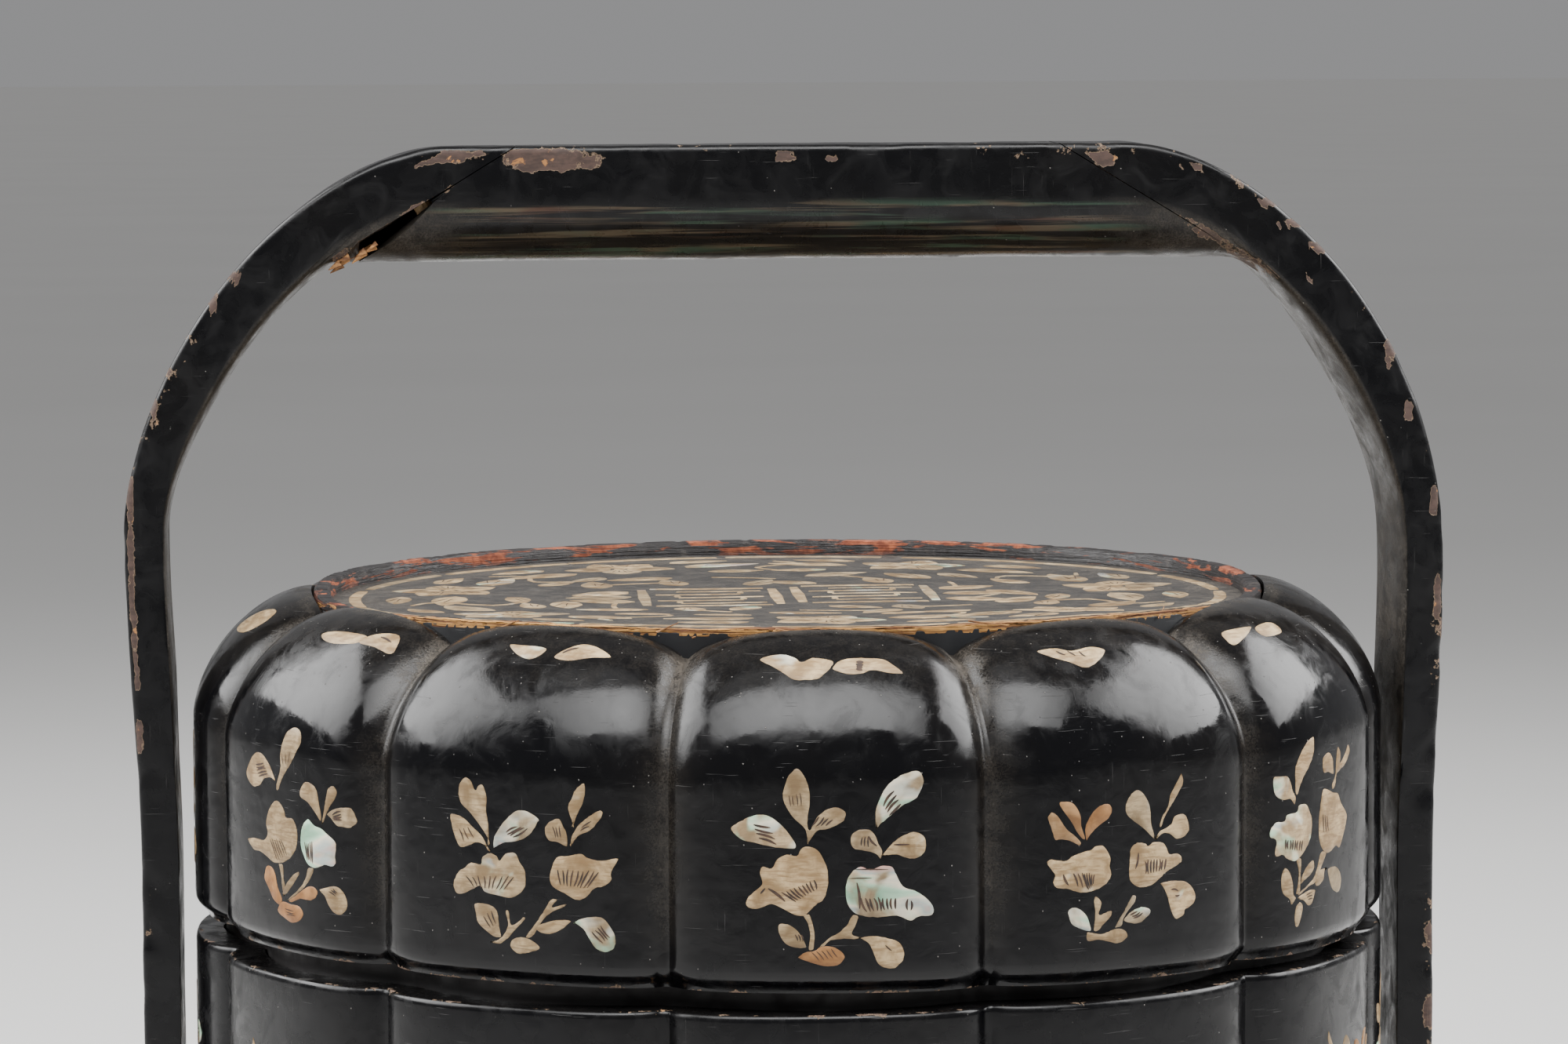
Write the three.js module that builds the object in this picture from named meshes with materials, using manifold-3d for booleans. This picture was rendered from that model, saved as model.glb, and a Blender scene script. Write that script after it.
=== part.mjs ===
// Tiered food basket of lacquered wood: a lobed base, three lobed trays and a domed lid,
// carried by two uprights and a grip that is scarfed between them.
// Millimetres, +Z up, X along the grip, the front faces -Y, z = 0 under the base.

import * as THREE from 'three';
import { mergeVertices } from 'three/addons/utils/BufferGeometryUtils.js';
import Module from 'manifold-3d';

const wasm = await Module();
wasm.setup();

// Lobed plan of the trays and the lid
const lobeCount = 12;
const stepsPerLobe = 6;
const crestRadius = 130.4;
const grooveDepth = 8;
const lobePower = 2.3;
const innerLobePower = 1.5;
const wall = 6;

// Clearances
const gluedGap = 0.15;
const seatGap = 0.3;
const neckClearance = 0.6;
const overrun = 20;

// Base
const footHeight = 12;
const footWidth = 10;
const footInset = 3;
const footFlare = 2;
const boardThickness = 10;
const boardOverhang = 4;
const boardEdgeRound = 2;
const curbHeight = 6;
const curbWidth = 4;
const curbClearance = 0.8;
const curbRidgeStep = 4.5;

// Trays
const trayNames = ['tray_bottom', 'tray_middle', 'tray_top'];
const trayHeight = 54;
const trayGap = 2.4;
const trayEdgeRound = 4;
const trayBottomInset = 2;
const trayTopInset = 1.6;
const floorThickness = 5;
const neckRise = 8;
const neckDepth = 10;
const neckWidth = 4;
const neckChamfer = 1;

// Lid
const lidHeight = 72.2;
const lidGap = 3;
const lidEdgeRound = 5;
const lidBottomInset = 2.8;
const shoulderDrop = 28;
const shoulderPower = 1.7;
const shoulderSteps = 5;
const shoulderLip = 1;
const shoulderTopDrop = 0.8;
const valleyTopDrop = 8.6;
const valleyTopInset = 3;
const valleyFootDrop = 3;
const deckThickness = 5.5;
const ceilingInset = 6;
const ceilingSteps = 3;
const seatRingHeight = 8;
const seatRingWidth = 5.5;

// Inlaid plate in the lid's top
const shoulderWidth = 26.4;
const plateThickness = 4.5;
const rimHeight = 3.4;
const rimWidth = 4.2;
const rimEdge = 0.8;
const plateSegments = 60;

// Handle
const uprightClearance = 3.2;
const uprightBow = 2.8;
const strapWidth = 25;
const strapCorner = 1.5;
const uprightThickness = 8;
const gripThickness = 10.4;
const springBelly = 4.2;
const gripBelly = 15;
const springRise = 12.4;
const easeLength = 74;
const bellyFadeLength = 57;
const gripRise = 95.4;
const archReach = 70;
const archPower = 1.7;
const gripSwellShare = 0.6;
const gripFullShare = 0.85;
const easeSteps = 4;
const archSteps = 13;
const gripSteps = 3;
const bellySteps = 6;

// Joints of the handle
const scarfOffset = 4.9;
const scarfTilt = 31.4;
const scarfToe = 3;
const scarfPegRadius = 2;
const scarfPegLength = 15;
const scarfPegSpread = 6;
const tenonThickness = 5.6;
const tenonWidth = 19;
const tenonRoot = 10;
const footPegRadius = 1.8;
const footPegSpread = 5;
const footPegReach = 5;
const footPegInset = 0.6;
const pegSides = 12;

// Widths that follow from the lobed plan
const grooveRadius = crestRadius - grooveDepth;
const plateRadius = crestRadius - shoulderWidth;
const footHalf = crestRadius + uprightClearance + uprightThickness;
const spanHalf = footHalf + uprightBow;
const boardCrest = footHalf + boardOverhang;
const flatHalf = spanHalf - archReach;
const scarfMiddle = flatHalf + scarfOffset;

// Levels of the stack
const boardTop = footHeight + boardThickness;
const trayPitch = trayHeight + trayGap;
const stackFoot = boardTop + seatGap;
const lidFoot = stackFoot + trayNames.length * trayPitch - trayGap + lidGap;
const rimTop = lidFoot + lidHeight;
const floorLift = neckRise - trayGap + seatGap;
const springHeight = rimTop + springRise;
const gripTop = rimTop + gripRise;

// Finishes
const blackLacquer = { color: 0x14100e, roughness: 0.32, metalness: 0 };
const wornLacquer = { color: 0x221a15, roughness: 0.5, metalness: 0 };
const dustyField = { color: 0x3a3a34, roughness: 0.6, metalness: 0 };
const wornRim = { color: 0x8a4a24, roughness: 0.6, metalness: 0 };
const bareWood = { color: 0x9b7443, roughness: 0.75, metalness: 0 };
const bambooPeg = { color: 0xa88450, roughness: 0.7, metalness: 0 };

function smooth(share) {
  const t = Math.min(Math.max(share, 0), 1);
  return t * t * (3 - 2 * t);
}

// Quarter of a superellipse: how far across and how far up at a share of the turn
function quarter(share, power) {
  const angle = (share * Math.PI) / 2;
  const across = Math.max(Math.cos(angle), 0) ** (2 / power);
  const up = Math.sin(angle) ** (2 / power);
  return { across, up };
}

// One closed row of points round the lobed plan, counter-clockwise from above
function lobedRow(crest, groove, power, crestZ, grooveZ = crestZ) {
  const halfTurn = Math.PI / lobeCount;
  const halfWidth = groove * Math.sin(halfTurn);
  const chord = groove * Math.cos(halfTurn);
  const row = [];
  for (let lobe = 0; lobe < lobeCount; lobe += 1) {
    const turn = 2 * halfTurn * lobe;
    for (let step = 0; step < stepsPerLobe; step += 1) {
      const angle = (Math.PI * step) / stepsPerLobe;
      const cosine = Math.cos(angle);
      const across = -Math.sign(cosine) * Math.abs(cosine) ** (2 / power) * halfWidth;
      const swell = Math.sin(angle) ** (2 / power);
      const out = chord + (crest - chord) * swell;
      const x = out * Math.cos(turn) - across * Math.sin(turn);
      const y = out * Math.sin(turn) + across * Math.cos(turn);
      row.push(new THREE.Vector3(x, y, grooveZ + (crestZ - grooveZ) * swell));
    }
  }
  return row;
}

// Outer and inner faces of the lobed wall, drawn in by an inset
function outerRow(inset, z) {
  return lobedRow(crestRadius - inset, grooveRadius - inset, lobePower, z);
}

function innerRow(inset, z) {
  return lobedRow(crestRadius - wall - inset, grooveRadius - wall - inset, innerLobePower, z);
}

// Surface through rows of equal length, closed by end caps or back onto its first row
function rowsGeometry(rows, caps) {
  const points = rows.flat();
  const count = rows[0].length;
  const index = [];
  const spans = caps ? rows.length - 1 : rows.length;
  for (let i = 0; i < spans; i += 1) {
    const here = i * count;
    const next = ((i + 1) % rows.length) * count;
    for (let j = 0; j < count; j += 1) {
      const k = (j + 1) % count;
      index.push(here + j, here + k, next + k, here + j, next + k, next + j);
    }
  }
  if (caps) {
    const last = (rows.length - 1) * count;
    points.push(caps.start, caps.end);
    for (let j = 0; j < count; j += 1) {
      const k = (j + 1) % count;
      index.push(points.length - 2, k, j, points.length - 1, last + j, last + k);
    }
  }
  const geometry = new THREE.BufferGeometry().setFromPoints(points);
  geometry.setIndex(index);
  return geometry;
}

// Solid between lobed rows, closed at a point of the axis at each end
function cappedRows(rows, startZ, endZ) {
  const start = new THREE.Vector3(0, 0, startZ);
  const end = new THREE.Vector3(0, 0, endZ);
  return rowsGeometry(rows, { start, end });
}

function toSolid(geometry) {
  const plain = geometry.clone();
  plain.deleteAttribute('normal');
  plain.deleteAttribute('uv');
  const merged = mergeVertices(plain);
  const vertProperties = new Float32Array(merged.attributes.position.array);
  const triVerts = new Uint32Array(merged.index.array);
  return new wasm.Manifold(new wasm.Mesh({ numProp: 3, vertProperties, triVerts }));
}

function toGeometry(solid) {
  const mesh = solid.getMesh();
  const geometry = new THREE.BufferGeometry();
  geometry.setAttribute('position', new THREE.BufferAttribute(mesh.vertProperties, mesh.numProp));
  geometry.setIndex(new THREE.BufferAttribute(mesh.triVerts, 1));
  return geometry;
}

function cut(geometry, tools) {
  const solid = tools.reduce((rest, tool) => rest.subtract(toSolid(tool)), toSolid(geometry));
  return toGeometry(solid);
}

function piece(name, geometry, finish) {
  const mesh = new THREE.Mesh(geometry, new THREE.MeshStandardMaterial(finish));
  mesh.name = name;
  geometry.computeVertexNormals();
  return mesh;
}

function boxAt(sizeX, sizeY, sizeZ, x, y, z) {
  return new THREE.BoxGeometry(sizeX, sizeY, sizeZ).translate(x, y, z);
}

// Wall of one tray: rounded at both edges, a little narrower at its top edge
function trayWall() {
  return rowsGeometry([
    outerRow(trayBottomInset, 0),
    outerRow(0, trayEdgeRound),
    outerRow(0, trayHeight - trayEdgeRound),
    outerRow(trayTopInset, trayHeight),
    innerRow(0, trayHeight),
    innerRow(0, 0),
  ]);
}

// Floor of one tray, let into the wall above its bottom edge so that the neck below fits under it
function trayFloor() {
  const rows = [innerRow(gluedGap, floorLift), innerRow(gluedGap, floorLift + floorThickness)];
  return cappedRows(rows, floorLift, floorLift + floorThickness);
}

// Neck ring: glued inside the top of the wall, it stands up to hold what is stacked above
function trayNeck() {
  const top = trayHeight + neckRise;
  return rowsGeometry([
    innerRow(gluedGap, trayHeight - neckDepth),
    innerRow(gluedGap, trayHeight - neckChamfer),
    innerRow(neckClearance, trayHeight),
    innerRow(neckClearance, top - neckChamfer),
    innerRow(neckClearance + neckChamfer, top),
    innerRow(neckWidth, top),
    innerRow(neckWidth, trayHeight - neckDepth),
  ]);
}

function makeTray(name, foot) {
  const tray = new THREE.Group();
  tray.position.z = foot;
  tray.add(piece(`${name}_wall`, trayWall(), blackLacquer));
  tray.add(piece(`${name}_floor`, trayFloor(), wornLacquer));
  tray.add(piece(`${name}_neck`, trayNeck(), wornLacquer));
  return tray;
}

// Rows of the domed shoulder, from its foot on the wall up to the edge of the plate
function shoulderRows(crest, groove, power, steps) {
  const rows = [];
  for (let step = 0; step <= steps; step += 1) {
    const { across, up } = quarter(step / steps, shoulderPower);
    const crestOut = crest.topRadius + (crest.footRadius - crest.topRadius) * across;
    const grooveOut = groove.topRadius + (groove.footRadius - groove.topRadius) * across;
    const crestZ = crest.footZ + (crest.topZ - crest.footZ) * up;
    const grooveZ = groove.footZ + (groove.topZ - groove.footZ) * up;
    rows.push(lobedRow(crestOut, grooveOut, power, crestZ, grooveZ));
  }
  return rows;
}

// Lid: wall, shoulder and deck in one, hollow below, with a round recess for the plate on top
const plateTop = lidHeight - rimHeight - gluedGap;
const deckTop = plateTop - plateThickness - gluedGap;
const ceiling = deckTop - deckThickness;

function lidShell() {
  const shoulderTop = lidHeight - shoulderTopDrop;
  const crest = {
    topRadius: plateRadius + shoulderLip,
    topZ: shoulderTop,
    footRadius: crestRadius,
    footZ: lidHeight - shoulderDrop,
  };
  const groove = {
    topRadius: plateRadius - valleyTopInset,
    topZ: lidHeight - valleyTopDrop,
    footRadius: grooveRadius,
    footZ: lidHeight - shoulderDrop - valleyFootDrop,
  };
  const outerRows = [
    outerRow(lidBottomInset, 0),
    outerRow(0, lidEdgeRound),
    ...shoulderRows(crest, groove, lobePower, shoulderSteps),
  ];
  const hollowCrest = {
    topRadius: plateRadius - ceilingInset,
    topZ: ceiling,
    footRadius: crestRadius - wall,
    footZ: crest.footZ,
  };
  const hollowGroove = {
    topRadius: plateRadius - ceilingInset - valleyTopInset,
    topZ: ceiling,
    footRadius: grooveRadius - wall,
    footZ: groove.footZ,
  };
  const hollowRows = [
    innerRow(0, -overrun),
    ...shoulderRows(hollowCrest, hollowGroove, innerLobePower, ceilingSteps),
  ];
  const recessRadius = plateRadius + gluedGap;
  const recess = new THREE.CylinderGeometry(recessRadius, recessRadius, overrun, plateSegments);
  recess.rotateX(Math.PI / 2).translate(0, 0, deckTop + overrun / 2);
  const hollow = cappedRows(hollowRows, -overrun, ceiling);
  return cut(cappedRows(outerRows, 0, shoulderTop), [hollow, recess]);
}

// Ledge inside the lid that comes down on the neck of the top tray
function lidSeatRing() {
  const foot = neckRise - lidGap + seatGap;
  return rowsGeometry([
    innerRow(gluedGap, foot),
    innerRow(gluedGap, foot + seatRingHeight),
    innerRow(seatRingWidth, foot + seatRingHeight),
    innerRow(seatRingWidth, foot),
  ]);
}

function lathe(outline) {
  const points = outline.map(([radius, z]) => new THREE.Vector2(radius, z));
  return new THREE.LatheGeometry(points, plateSegments).rotateX(Math.PI / 2);
}

function lidPlate() {
  const foot = plateTop - plateThickness;
  return lathe([[0, foot], [plateRadius, foot], [plateRadius, plateTop], [0, plateTop]]);
}

function lidPlateRim() {
  const foot = plateTop + gluedGap;
  const inside = plateRadius - rimWidth;
  return lathe([
    [inside, foot],
    [plateRadius, foot],
    [plateRadius, lidHeight - rimEdge],
    [plateRadius - rimEdge, lidHeight],
    [inside + rimEdge, lidHeight],
    [inside, lidHeight - rimEdge],
    [inside, foot],
  ]);
}

function makeLid() {
  const lid = new THREE.Group();
  lid.position.z = lidFoot;
  lid.add(piece('lid_shell', lidShell(), blackLacquer));
  lid.add(piece('lid_seat_ring', lidSeatRing(), wornLacquer));
  lid.add(piece('lid_plate', lidPlate(), dustyField));
  lid.add(piece('lid_plate_rim', lidPlateRim(), wornRim));
  return lid;
}

// Outer line of the handle from the left foot, over the grip, to the right foot.
// Each station holds its place and the thickness and belly of the strap there.
function handleStations() {
  const half = [];
  const easeFoot = springHeight - easeLength;
  const fadeFoot = springHeight - bellyFadeLength;
  const uprightStation = (z) => ({
    x: footHalf + (spanHalf - footHalf) * smooth((z - easeFoot) / easeLength),
    z,
    thickness: uprightThickness,
    belly: springBelly * smooth((z - fadeFoot) / bellyFadeLength),
  });
  half.push(uprightStation(boardTop + gluedGap));
  for (let step = 0; step < easeSteps; step += 1) {
    half.push(uprightStation(easeFoot + (easeLength * step) / easeSteps));
  }
  for (let step = 0; step <= archSteps; step += 1) {
    const share = step / archSteps;
    const { across, up } = quarter(share, archPower);
    half.push({
      x: flatHalf + archReach * across,
      z: springHeight + (gripTop - springHeight) * up,
      thickness: uprightThickness + (gripThickness - uprightThickness) * smooth(share),
      belly: springBelly + (gripBelly - springBelly)
        * smooth((share - gripSwellShare) / (gripFullShare - gripSwellShare)),
    });
  }
  for (let step = 1; step <= gripSteps; step += 1) {
    const x = flatHalf * (1 - step / gripSteps);
    half.push({ x, z: gripTop, thickness: gripThickness, belly: gripBelly });
  }
  const left = half.map((station) => ({ ...station, x: -station.x }));
  const right = half.slice(0, -1).reverse();
  return [...left, ...right];
}

// Section of the strap: flat outer face, square sides, rounded belly on the inner side
function strapSection(thickness, belly) {
  const side = strapWidth / 2;
  const section = [
    [0, side - strapCorner],
    [0, strapCorner - side],
    [strapCorner, -side],
    [thickness, -side],
  ];
  for (let step = 1; step < bellySteps; step += 1) {
    const angle = (Math.PI * step) / bellySteps;
    section.push([thickness + belly * Math.sin(angle), -side * Math.cos(angle)]);
  }
  section.push([thickness, side], [strapCorner, side]);
  return section;
}

function middleOf(row) {
  const sum = row.reduce((total, point) => total.add(point), new THREE.Vector3());
  return sum.divideScalar(row.length);
}

function handleStrap() {
  const stations = handleStations();
  const rows = stations.map((station, i) => {
    const before = stations[Math.max(i - 1, 0)];
    const after = stations[Math.min(i + 1, stations.length - 1)];
    const along = new THREE.Vector2(after.x - before.x, after.z - before.z).normalize();
    return strapSection(station.thickness, station.belly).map(
      ([depth, y]) => new THREE.Vector3(station.x + along.y * depth, y, station.z - along.x * depth),
    );
  });
  return rowsGeometry(rows, { start: middleOf(rows[0]), end: middleOf(rows[rows.length - 1]) });
}

// Space of the grip between its two scarfs, wider all round by a margin
function gripSpace(margin) {
  const depth = gripThickness + gripBelly;
  const tilt = THREE.MathUtils.degToRad(scarfTilt);
  const halfAt = (below) => scarfMiddle + (below - depth / 2) / Math.tan(tilt) + margin / Math.sin(tilt);
  const foot = depth + scarfToe;
  const outline = new THREE.Shape([
    new THREE.Vector2(-halfAt(foot), gripTop - foot),
    new THREE.Vector2(halfAt(foot), gripTop - foot),
    new THREE.Vector2(halfAt(-scarfToe), gripTop + scarfToe),
    new THREE.Vector2(-halfAt(-scarfToe), gripTop + scarfToe),
  ]);
  const space = new THREE.ExtrudeGeometry(outline, { depth: 2 * strapWidth, bevelEnabled: false });
  return space.rotateX(Math.PI / 2).translate(0, strapWidth, 0);
}

// Turned so that its +Z stands square off the scarf, away from the middle of the grip
function placeOnScarf(geometry, hand) {
  geometry.rotateY(hand * THREE.MathUtils.degToRad(scarfTilt));
  return geometry.translate(hand * scarfMiddle, 0, gripTop - (gripThickness + gripBelly) / 2);
}

function scarfPeg(hand, y, gap) {
  const radius = scarfPegRadius + gap;
  const peg = new THREE.CylinderGeometry(radius, radius, scarfPegLength + 2 * gap, pegSides);
  peg.rotateX(Math.PI / 2).translate(0, y, 0);
  return placeOnScarf(peg, hand);
}

// Tenon at the foot of an upright, and the pegs that cross it from the edge of the board
function footTenon(hand) {
  const x = hand * (footHalf - uprightThickness / 2);
  const height = boardThickness + tenonRoot;
  const z = footHeight + gluedGap + height / 2;
  return boxAt(tenonThickness, tenonWidth, height, x, 0, z);
}

function footPeg(hand, y, gap) {
  const radius = footPegRadius + gap;
  const inner = footHalf - uprightThickness - footPegReach;
  const outer = boardCrest - footPegInset;
  const length = outer - inner;
  const peg = new THREE.CylinderGeometry(radius, radius, length + 2 * gap, pegSides);
  return peg.rotateZ(Math.PI / 2).translate(hand * (inner + length / 2), y, footHeight + boardThickness / 2);
}

// Holes for the pegs, wider than the pegs by the glue gap
function footPegHoles(hand) {
  return [-footPegSpread, footPegSpread].map((y) => footPeg(hand, y, gluedGap));
}

function scarfPegHoles(hand) {
  return [-scarfPegSpread, scarfPegSpread].map((y) => scarfPeg(hand, y, gluedGap));
}

function upright(hand) {
  const strap = toSolid(handleStrap()).add(toSolid(footTenon(hand)));
  const reach = spanHalf + overrun;
  const otherHalf = boxAt(reach, strapWidth + overrun, 2 * gripTop, (-hand * reach) / 2, 0, gripTop);
  const tools = [gripSpace(gluedGap / 2), otherHalf, ...scarfPegHoles(hand), ...footPegHoles(hand)];
  return cut(toGeometry(strap), tools);
}

function gripBar() {
  const between = toSolid(handleStrap()).intersect(toSolid(gripSpace(-gluedGap / 2)));
  return cut(toGeometry(between), [...scarfPegHoles(-1), ...scarfPegHoles(1)]);
}

// Base: a lobed board on a foot ring, with a curb round the bottom tray
function boardRow(inset, z) {
  return lobedRow(boardCrest - inset, boardCrest - grooveDepth - inset, lobePower, z);
}

function baseBoard() {
  const rows = [
    boardRow(0, footHeight),
    boardRow(0, boardTop - boardEdgeRound),
    boardRow(boardEdgeRound, boardTop),
  ];
  const tools = [-1, 1].flatMap((hand) => {
    const x = hand * (footHalf - uprightThickness / 2);
    const across = tenonThickness + 2 * gluedGap;
    const along = tenonWidth + 2 * gluedGap;
    const mortise = boxAt(across, along, boardThickness + overrun, x, 0, footHeight + boardThickness / 2);
    return [mortise, ...footPegHoles(hand)];
  });
  return cut(cappedRows(rows, footHeight, boardTop), tools);
}

function baseFoot() {
  const top = footHeight - gluedGap;
  return rowsGeometry([
    boardRow(footInset - footFlare, 0),
    boardRow(footInset, top),
    boardRow(footInset + footWidth, top),
    boardRow(footInset + footWidth, 0),
  ]);
}

function baseCurb() {
  const foot = boardTop + gluedGap;
  const top = boardTop + curbHeight;
  const inner = crestRadius + curbClearance;
  const ridge = grooveRadius + curbRidgeStep;
  const curbRow = (offset, z) => lobedRow(inner + offset, ridge + offset, lobePower, z);
  const ring = rowsGeometry([
    curbRow(curbWidth, foot),
    curbRow(curbWidth, top),
    curbRow(0, top),
    curbRow(0, foot),
  ]);
  const notches = [-1, 1].map((hand) => {
    const x = hand * (footHalf - uprightThickness - seatGap + overrun / 2);
    return boxAt(overrun, strapWidth + 2 * seatGap, overrun + curbHeight, x, 0, boardTop);
  });
  return cut(ring, notches);
}

function makeFrame() {
  const frame = new THREE.Group();
  frame.add(piece('base_foot', baseFoot(), wornLacquer));
  frame.add(piece('base_board', baseBoard(), blackLacquer));
  frame.add(piece('base_curb', baseCurb(), wornLacquer));
  frame.add(piece('grip_bar', gripBar(), blackLacquer));
  for (const [side, hand] of [['left', -1], ['right', 1]]) {
    frame.add(piece(`${side}_upright`, upright(hand), blackLacquer));
    for (const [place, end] of [['front', -1], ['back', 1]]) {
      frame.add(piece(`${side}_scarf_peg_${place}`, scarfPeg(hand, end * scarfPegSpread, 0), bambooPeg));
      frame.add(piece(`${side}_foot_peg_${place}`, footPeg(hand, end * footPegSpread, 0), bareWood));
    }
  }
  return frame;
}

const foodBasket = new THREE.Group();
foodBasket.add(makeFrame());
trayNames.forEach((name, level) => foodBasket.add(makeTray(name, stackFoot + level * trayPitch)));
foodBasket.add(makeLid());

export default foodBasket;
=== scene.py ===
import math
import random

import bmesh
import bpy
from mathutils import Matrix, Vector, noise


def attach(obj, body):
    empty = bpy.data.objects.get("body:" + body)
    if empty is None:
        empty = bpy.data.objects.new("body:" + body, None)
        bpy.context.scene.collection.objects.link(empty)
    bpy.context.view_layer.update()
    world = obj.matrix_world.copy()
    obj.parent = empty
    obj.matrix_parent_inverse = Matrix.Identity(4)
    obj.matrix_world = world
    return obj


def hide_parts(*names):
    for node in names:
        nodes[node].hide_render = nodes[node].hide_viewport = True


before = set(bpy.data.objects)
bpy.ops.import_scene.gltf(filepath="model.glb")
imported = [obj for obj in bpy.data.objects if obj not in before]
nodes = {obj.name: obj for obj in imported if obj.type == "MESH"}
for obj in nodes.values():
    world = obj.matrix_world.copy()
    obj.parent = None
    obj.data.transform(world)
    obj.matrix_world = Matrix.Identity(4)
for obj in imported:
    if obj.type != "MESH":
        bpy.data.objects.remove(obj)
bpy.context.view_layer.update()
random.seed(12)

# ---------------------------------------------------------------- stage
# A wide pale floor, a plain grey world and soft lamps in front of the object, left and right.
# The floor runs out to the horizon, so the object stands on the same ground from every side.

MM = 0.001


def connect(tree, socket, value):
    if isinstance(value, bpy.types.NodeSocket):
        tree.links.new(value, socket)
    elif isinstance(value, (tuple, list)) and len(value) == 3 and socket.type == "RGBA":
        socket.default_value = (*value, 1.0)
    else:
        socket.default_value = value


def node(tree, kind, inputs=None, **settings):
    made = tree.nodes.new("ShaderNode" + kind)
    for key, value in settings.items():
        setattr(made, key, value)
    for key, value in (inputs or {}).items():
        connect(tree, made.inputs[key], value)
    return made


def noise_of(tree, vector, scale, detail=3.0, roughness=0.55, distortion=0.0):
    """Noise of one scale, or of a scale for each axis where it is drawn out."""
    if isinstance(scale, tuple):
        vector, scale = node(tree, "Mapping", {"Vector": vector, "Scale": scale}).outputs[0], 1.0
    made = node(tree, "TexNoise", {"Vector": vector, "Scale": scale, "Detail": detail,
                                   "Roughness": roughness, "Distortion": distortion})
    return made.outputs[0]


def calc(tree, operation, first, second):
    made = node(tree, "Math", operation=operation)
    connect(tree, made.inputs[0], first)
    connect(tree, made.inputs[1], second)
    return made.outputs[0]


def times(tree, first, second):
    return calc(tree, "MULTIPLY", first, second)


def plus(tree, base, *parts):
    """The base with each part, a value and its factor, added to it."""
    for value, factor in parts:
        base = calc(tree, "ADD", base, times(tree, value, factor))
    return base


def step(tree, value, low, high, start=0.0, end=1.0):
    made = node(tree, "MapRange", {"Value": value, "From Min": low, "From Max": high,
                                   "To Min": start, "To Max": end},
                interpolation_type="SMOOTHSTEP")
    return made.outputs[0]


def blend(tree, share, low, high):
    made = node(tree, "Mix", data_type="RGBA")
    connect(tree, made.inputs[0], share)
    connect(tree, made.inputs[6], low)
    connect(tree, made.inputs[7], high)
    return made.outputs[2]


def mixed(tree, share, low, high):
    made = node(tree, "Mix", data_type="FLOAT")
    connect(tree, made.inputs[0], share)
    connect(tree, made.inputs[2], low)
    connect(tree, made.inputs[3], high)
    return made.outputs[0]


def coordinates(tree):
    return node(tree, "TexCoord").outputs["Object"]


def attribute(tree, name, output="Fac"):
    return node(tree, "Attribute", attribute_name=name).outputs[output]


def new_material(name, tint=(0.02, 0.02, 0.02)):
    made = bpy.data.materials.new(name)
    made.use_nodes = True
    made.diffuse_color = (*tint, 1.0)
    made.node_tree.nodes.clear()
    return made, made.node_tree


def surface(tree, colour, roughness, height=None, depth=0.0002, **more):
    shader = node(tree, "BsdfPrincipled", {"Base Color": colour, "Roughness": roughness})
    for key, value in more.items():
        connect(tree, shader.inputs[key.replace("_", " ")], value)
    if height is not None:
        bump = node(tree, "Bump", {"Height": height, "Distance": depth, "Strength": 1.0})
        tree.links.new(bump.outputs[0], shader.inputs["Normal"])
    output = node(tree, "OutputMaterial")
    tree.links.new(shader.outputs[0], output.inputs[0])


bpy.ops.mesh.primitive_plane_add(size=160)
floor = bpy.context.object
floor.name = "floor"
floor_paint, tree = new_material("pale_floor", (0.6, 0.6, 0.59))
cloud = noise_of(tree, coordinates(tree), 1.5, 3)
surface(tree, blend(tree, cloud, (0.53, 0.525, 0.515), (0.57, 0.565, 0.555)), 0.85,
        Specular_IOR_Level=0.2)
floor.data.materials.append(floor_paint)

world = bpy.data.worlds.new("studio")
world.use_nodes = True
world.node_tree.nodes["Background"].inputs[0].default_value = (0.29, 0.29, 0.295, 1.0)
bpy.context.scene.world = world


def softbox(name, place, width, height, power, tilt_to=(0.0, 0.0, 0.22)):
    """A gridded softbox, which throws little light on the floor round the object."""
    bpy.ops.object.light_add(type="AREA", location=place)
    lamp = bpy.context.object
    lamp.name = name
    lamp.data.shape = "RECTANGLE"
    lamp.data.size = width
    lamp.data.size_y = height
    lamp.data.energy = power
    lamp.data.spread = math.radians(95)
    lamp.rotation_euler = (Vector(tilt_to) - Vector(place)).to_track_quat("-Z", "Y").to_euler()


softbox("softbox_top", (-0.15, -1.15, 2.2), 3.2, 1.35, 42, (-0.15, 0.0, 0.2))
softbox("softbox_left", (-1.75, 0.45, 1.5), 2.4, 1.4, 33)
softbox("softbox_right", (1.8, 0.35, 1.5), 2.2, 1.35, 32)
bpy.ops.object.light_add(type="SUN", rotation=(math.radians(24), math.radians(-8), 0))
sun = bpy.context.object
sun.name = "soft_sun"
sun.data.energy = 0.75
sun.data.angle = math.radians(60)

# ---------------------------------------------------------------- camera
# Stands 1.25 m off, a little to the left and above the rim, with a long lens. It was fitted to
# the photograph, so seen_at gives the pixel at which a spot of the object is seen there.

camera_turn = math.radians(-3.60)
camera_tilt = math.radians(4.68)
camera_roll = math.radians(-0.31)
camera_reach = 1.25
aim_aside, aim_height = -0.64 * MM, 276.7 * MM
photo_width, photo_height, focal = 2000, 1331, 7260

ahead = Vector((-math.sin(camera_turn) * math.cos(camera_tilt),
                math.cos(camera_turn) * math.cos(camera_tilt), -math.sin(camera_tilt)))
level = Vector((math.cos(camera_turn), math.sin(camera_turn), 0.0))
rise = level.cross(ahead)
cam_right = level * math.cos(camera_roll) + rise * math.sin(camera_roll)
cam_up = rise * math.cos(camera_roll) - level * math.sin(camera_roll)
aim = level * aim_aside + Vector((0, 0, aim_height))
eye = aim - ahead * camera_reach

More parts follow.
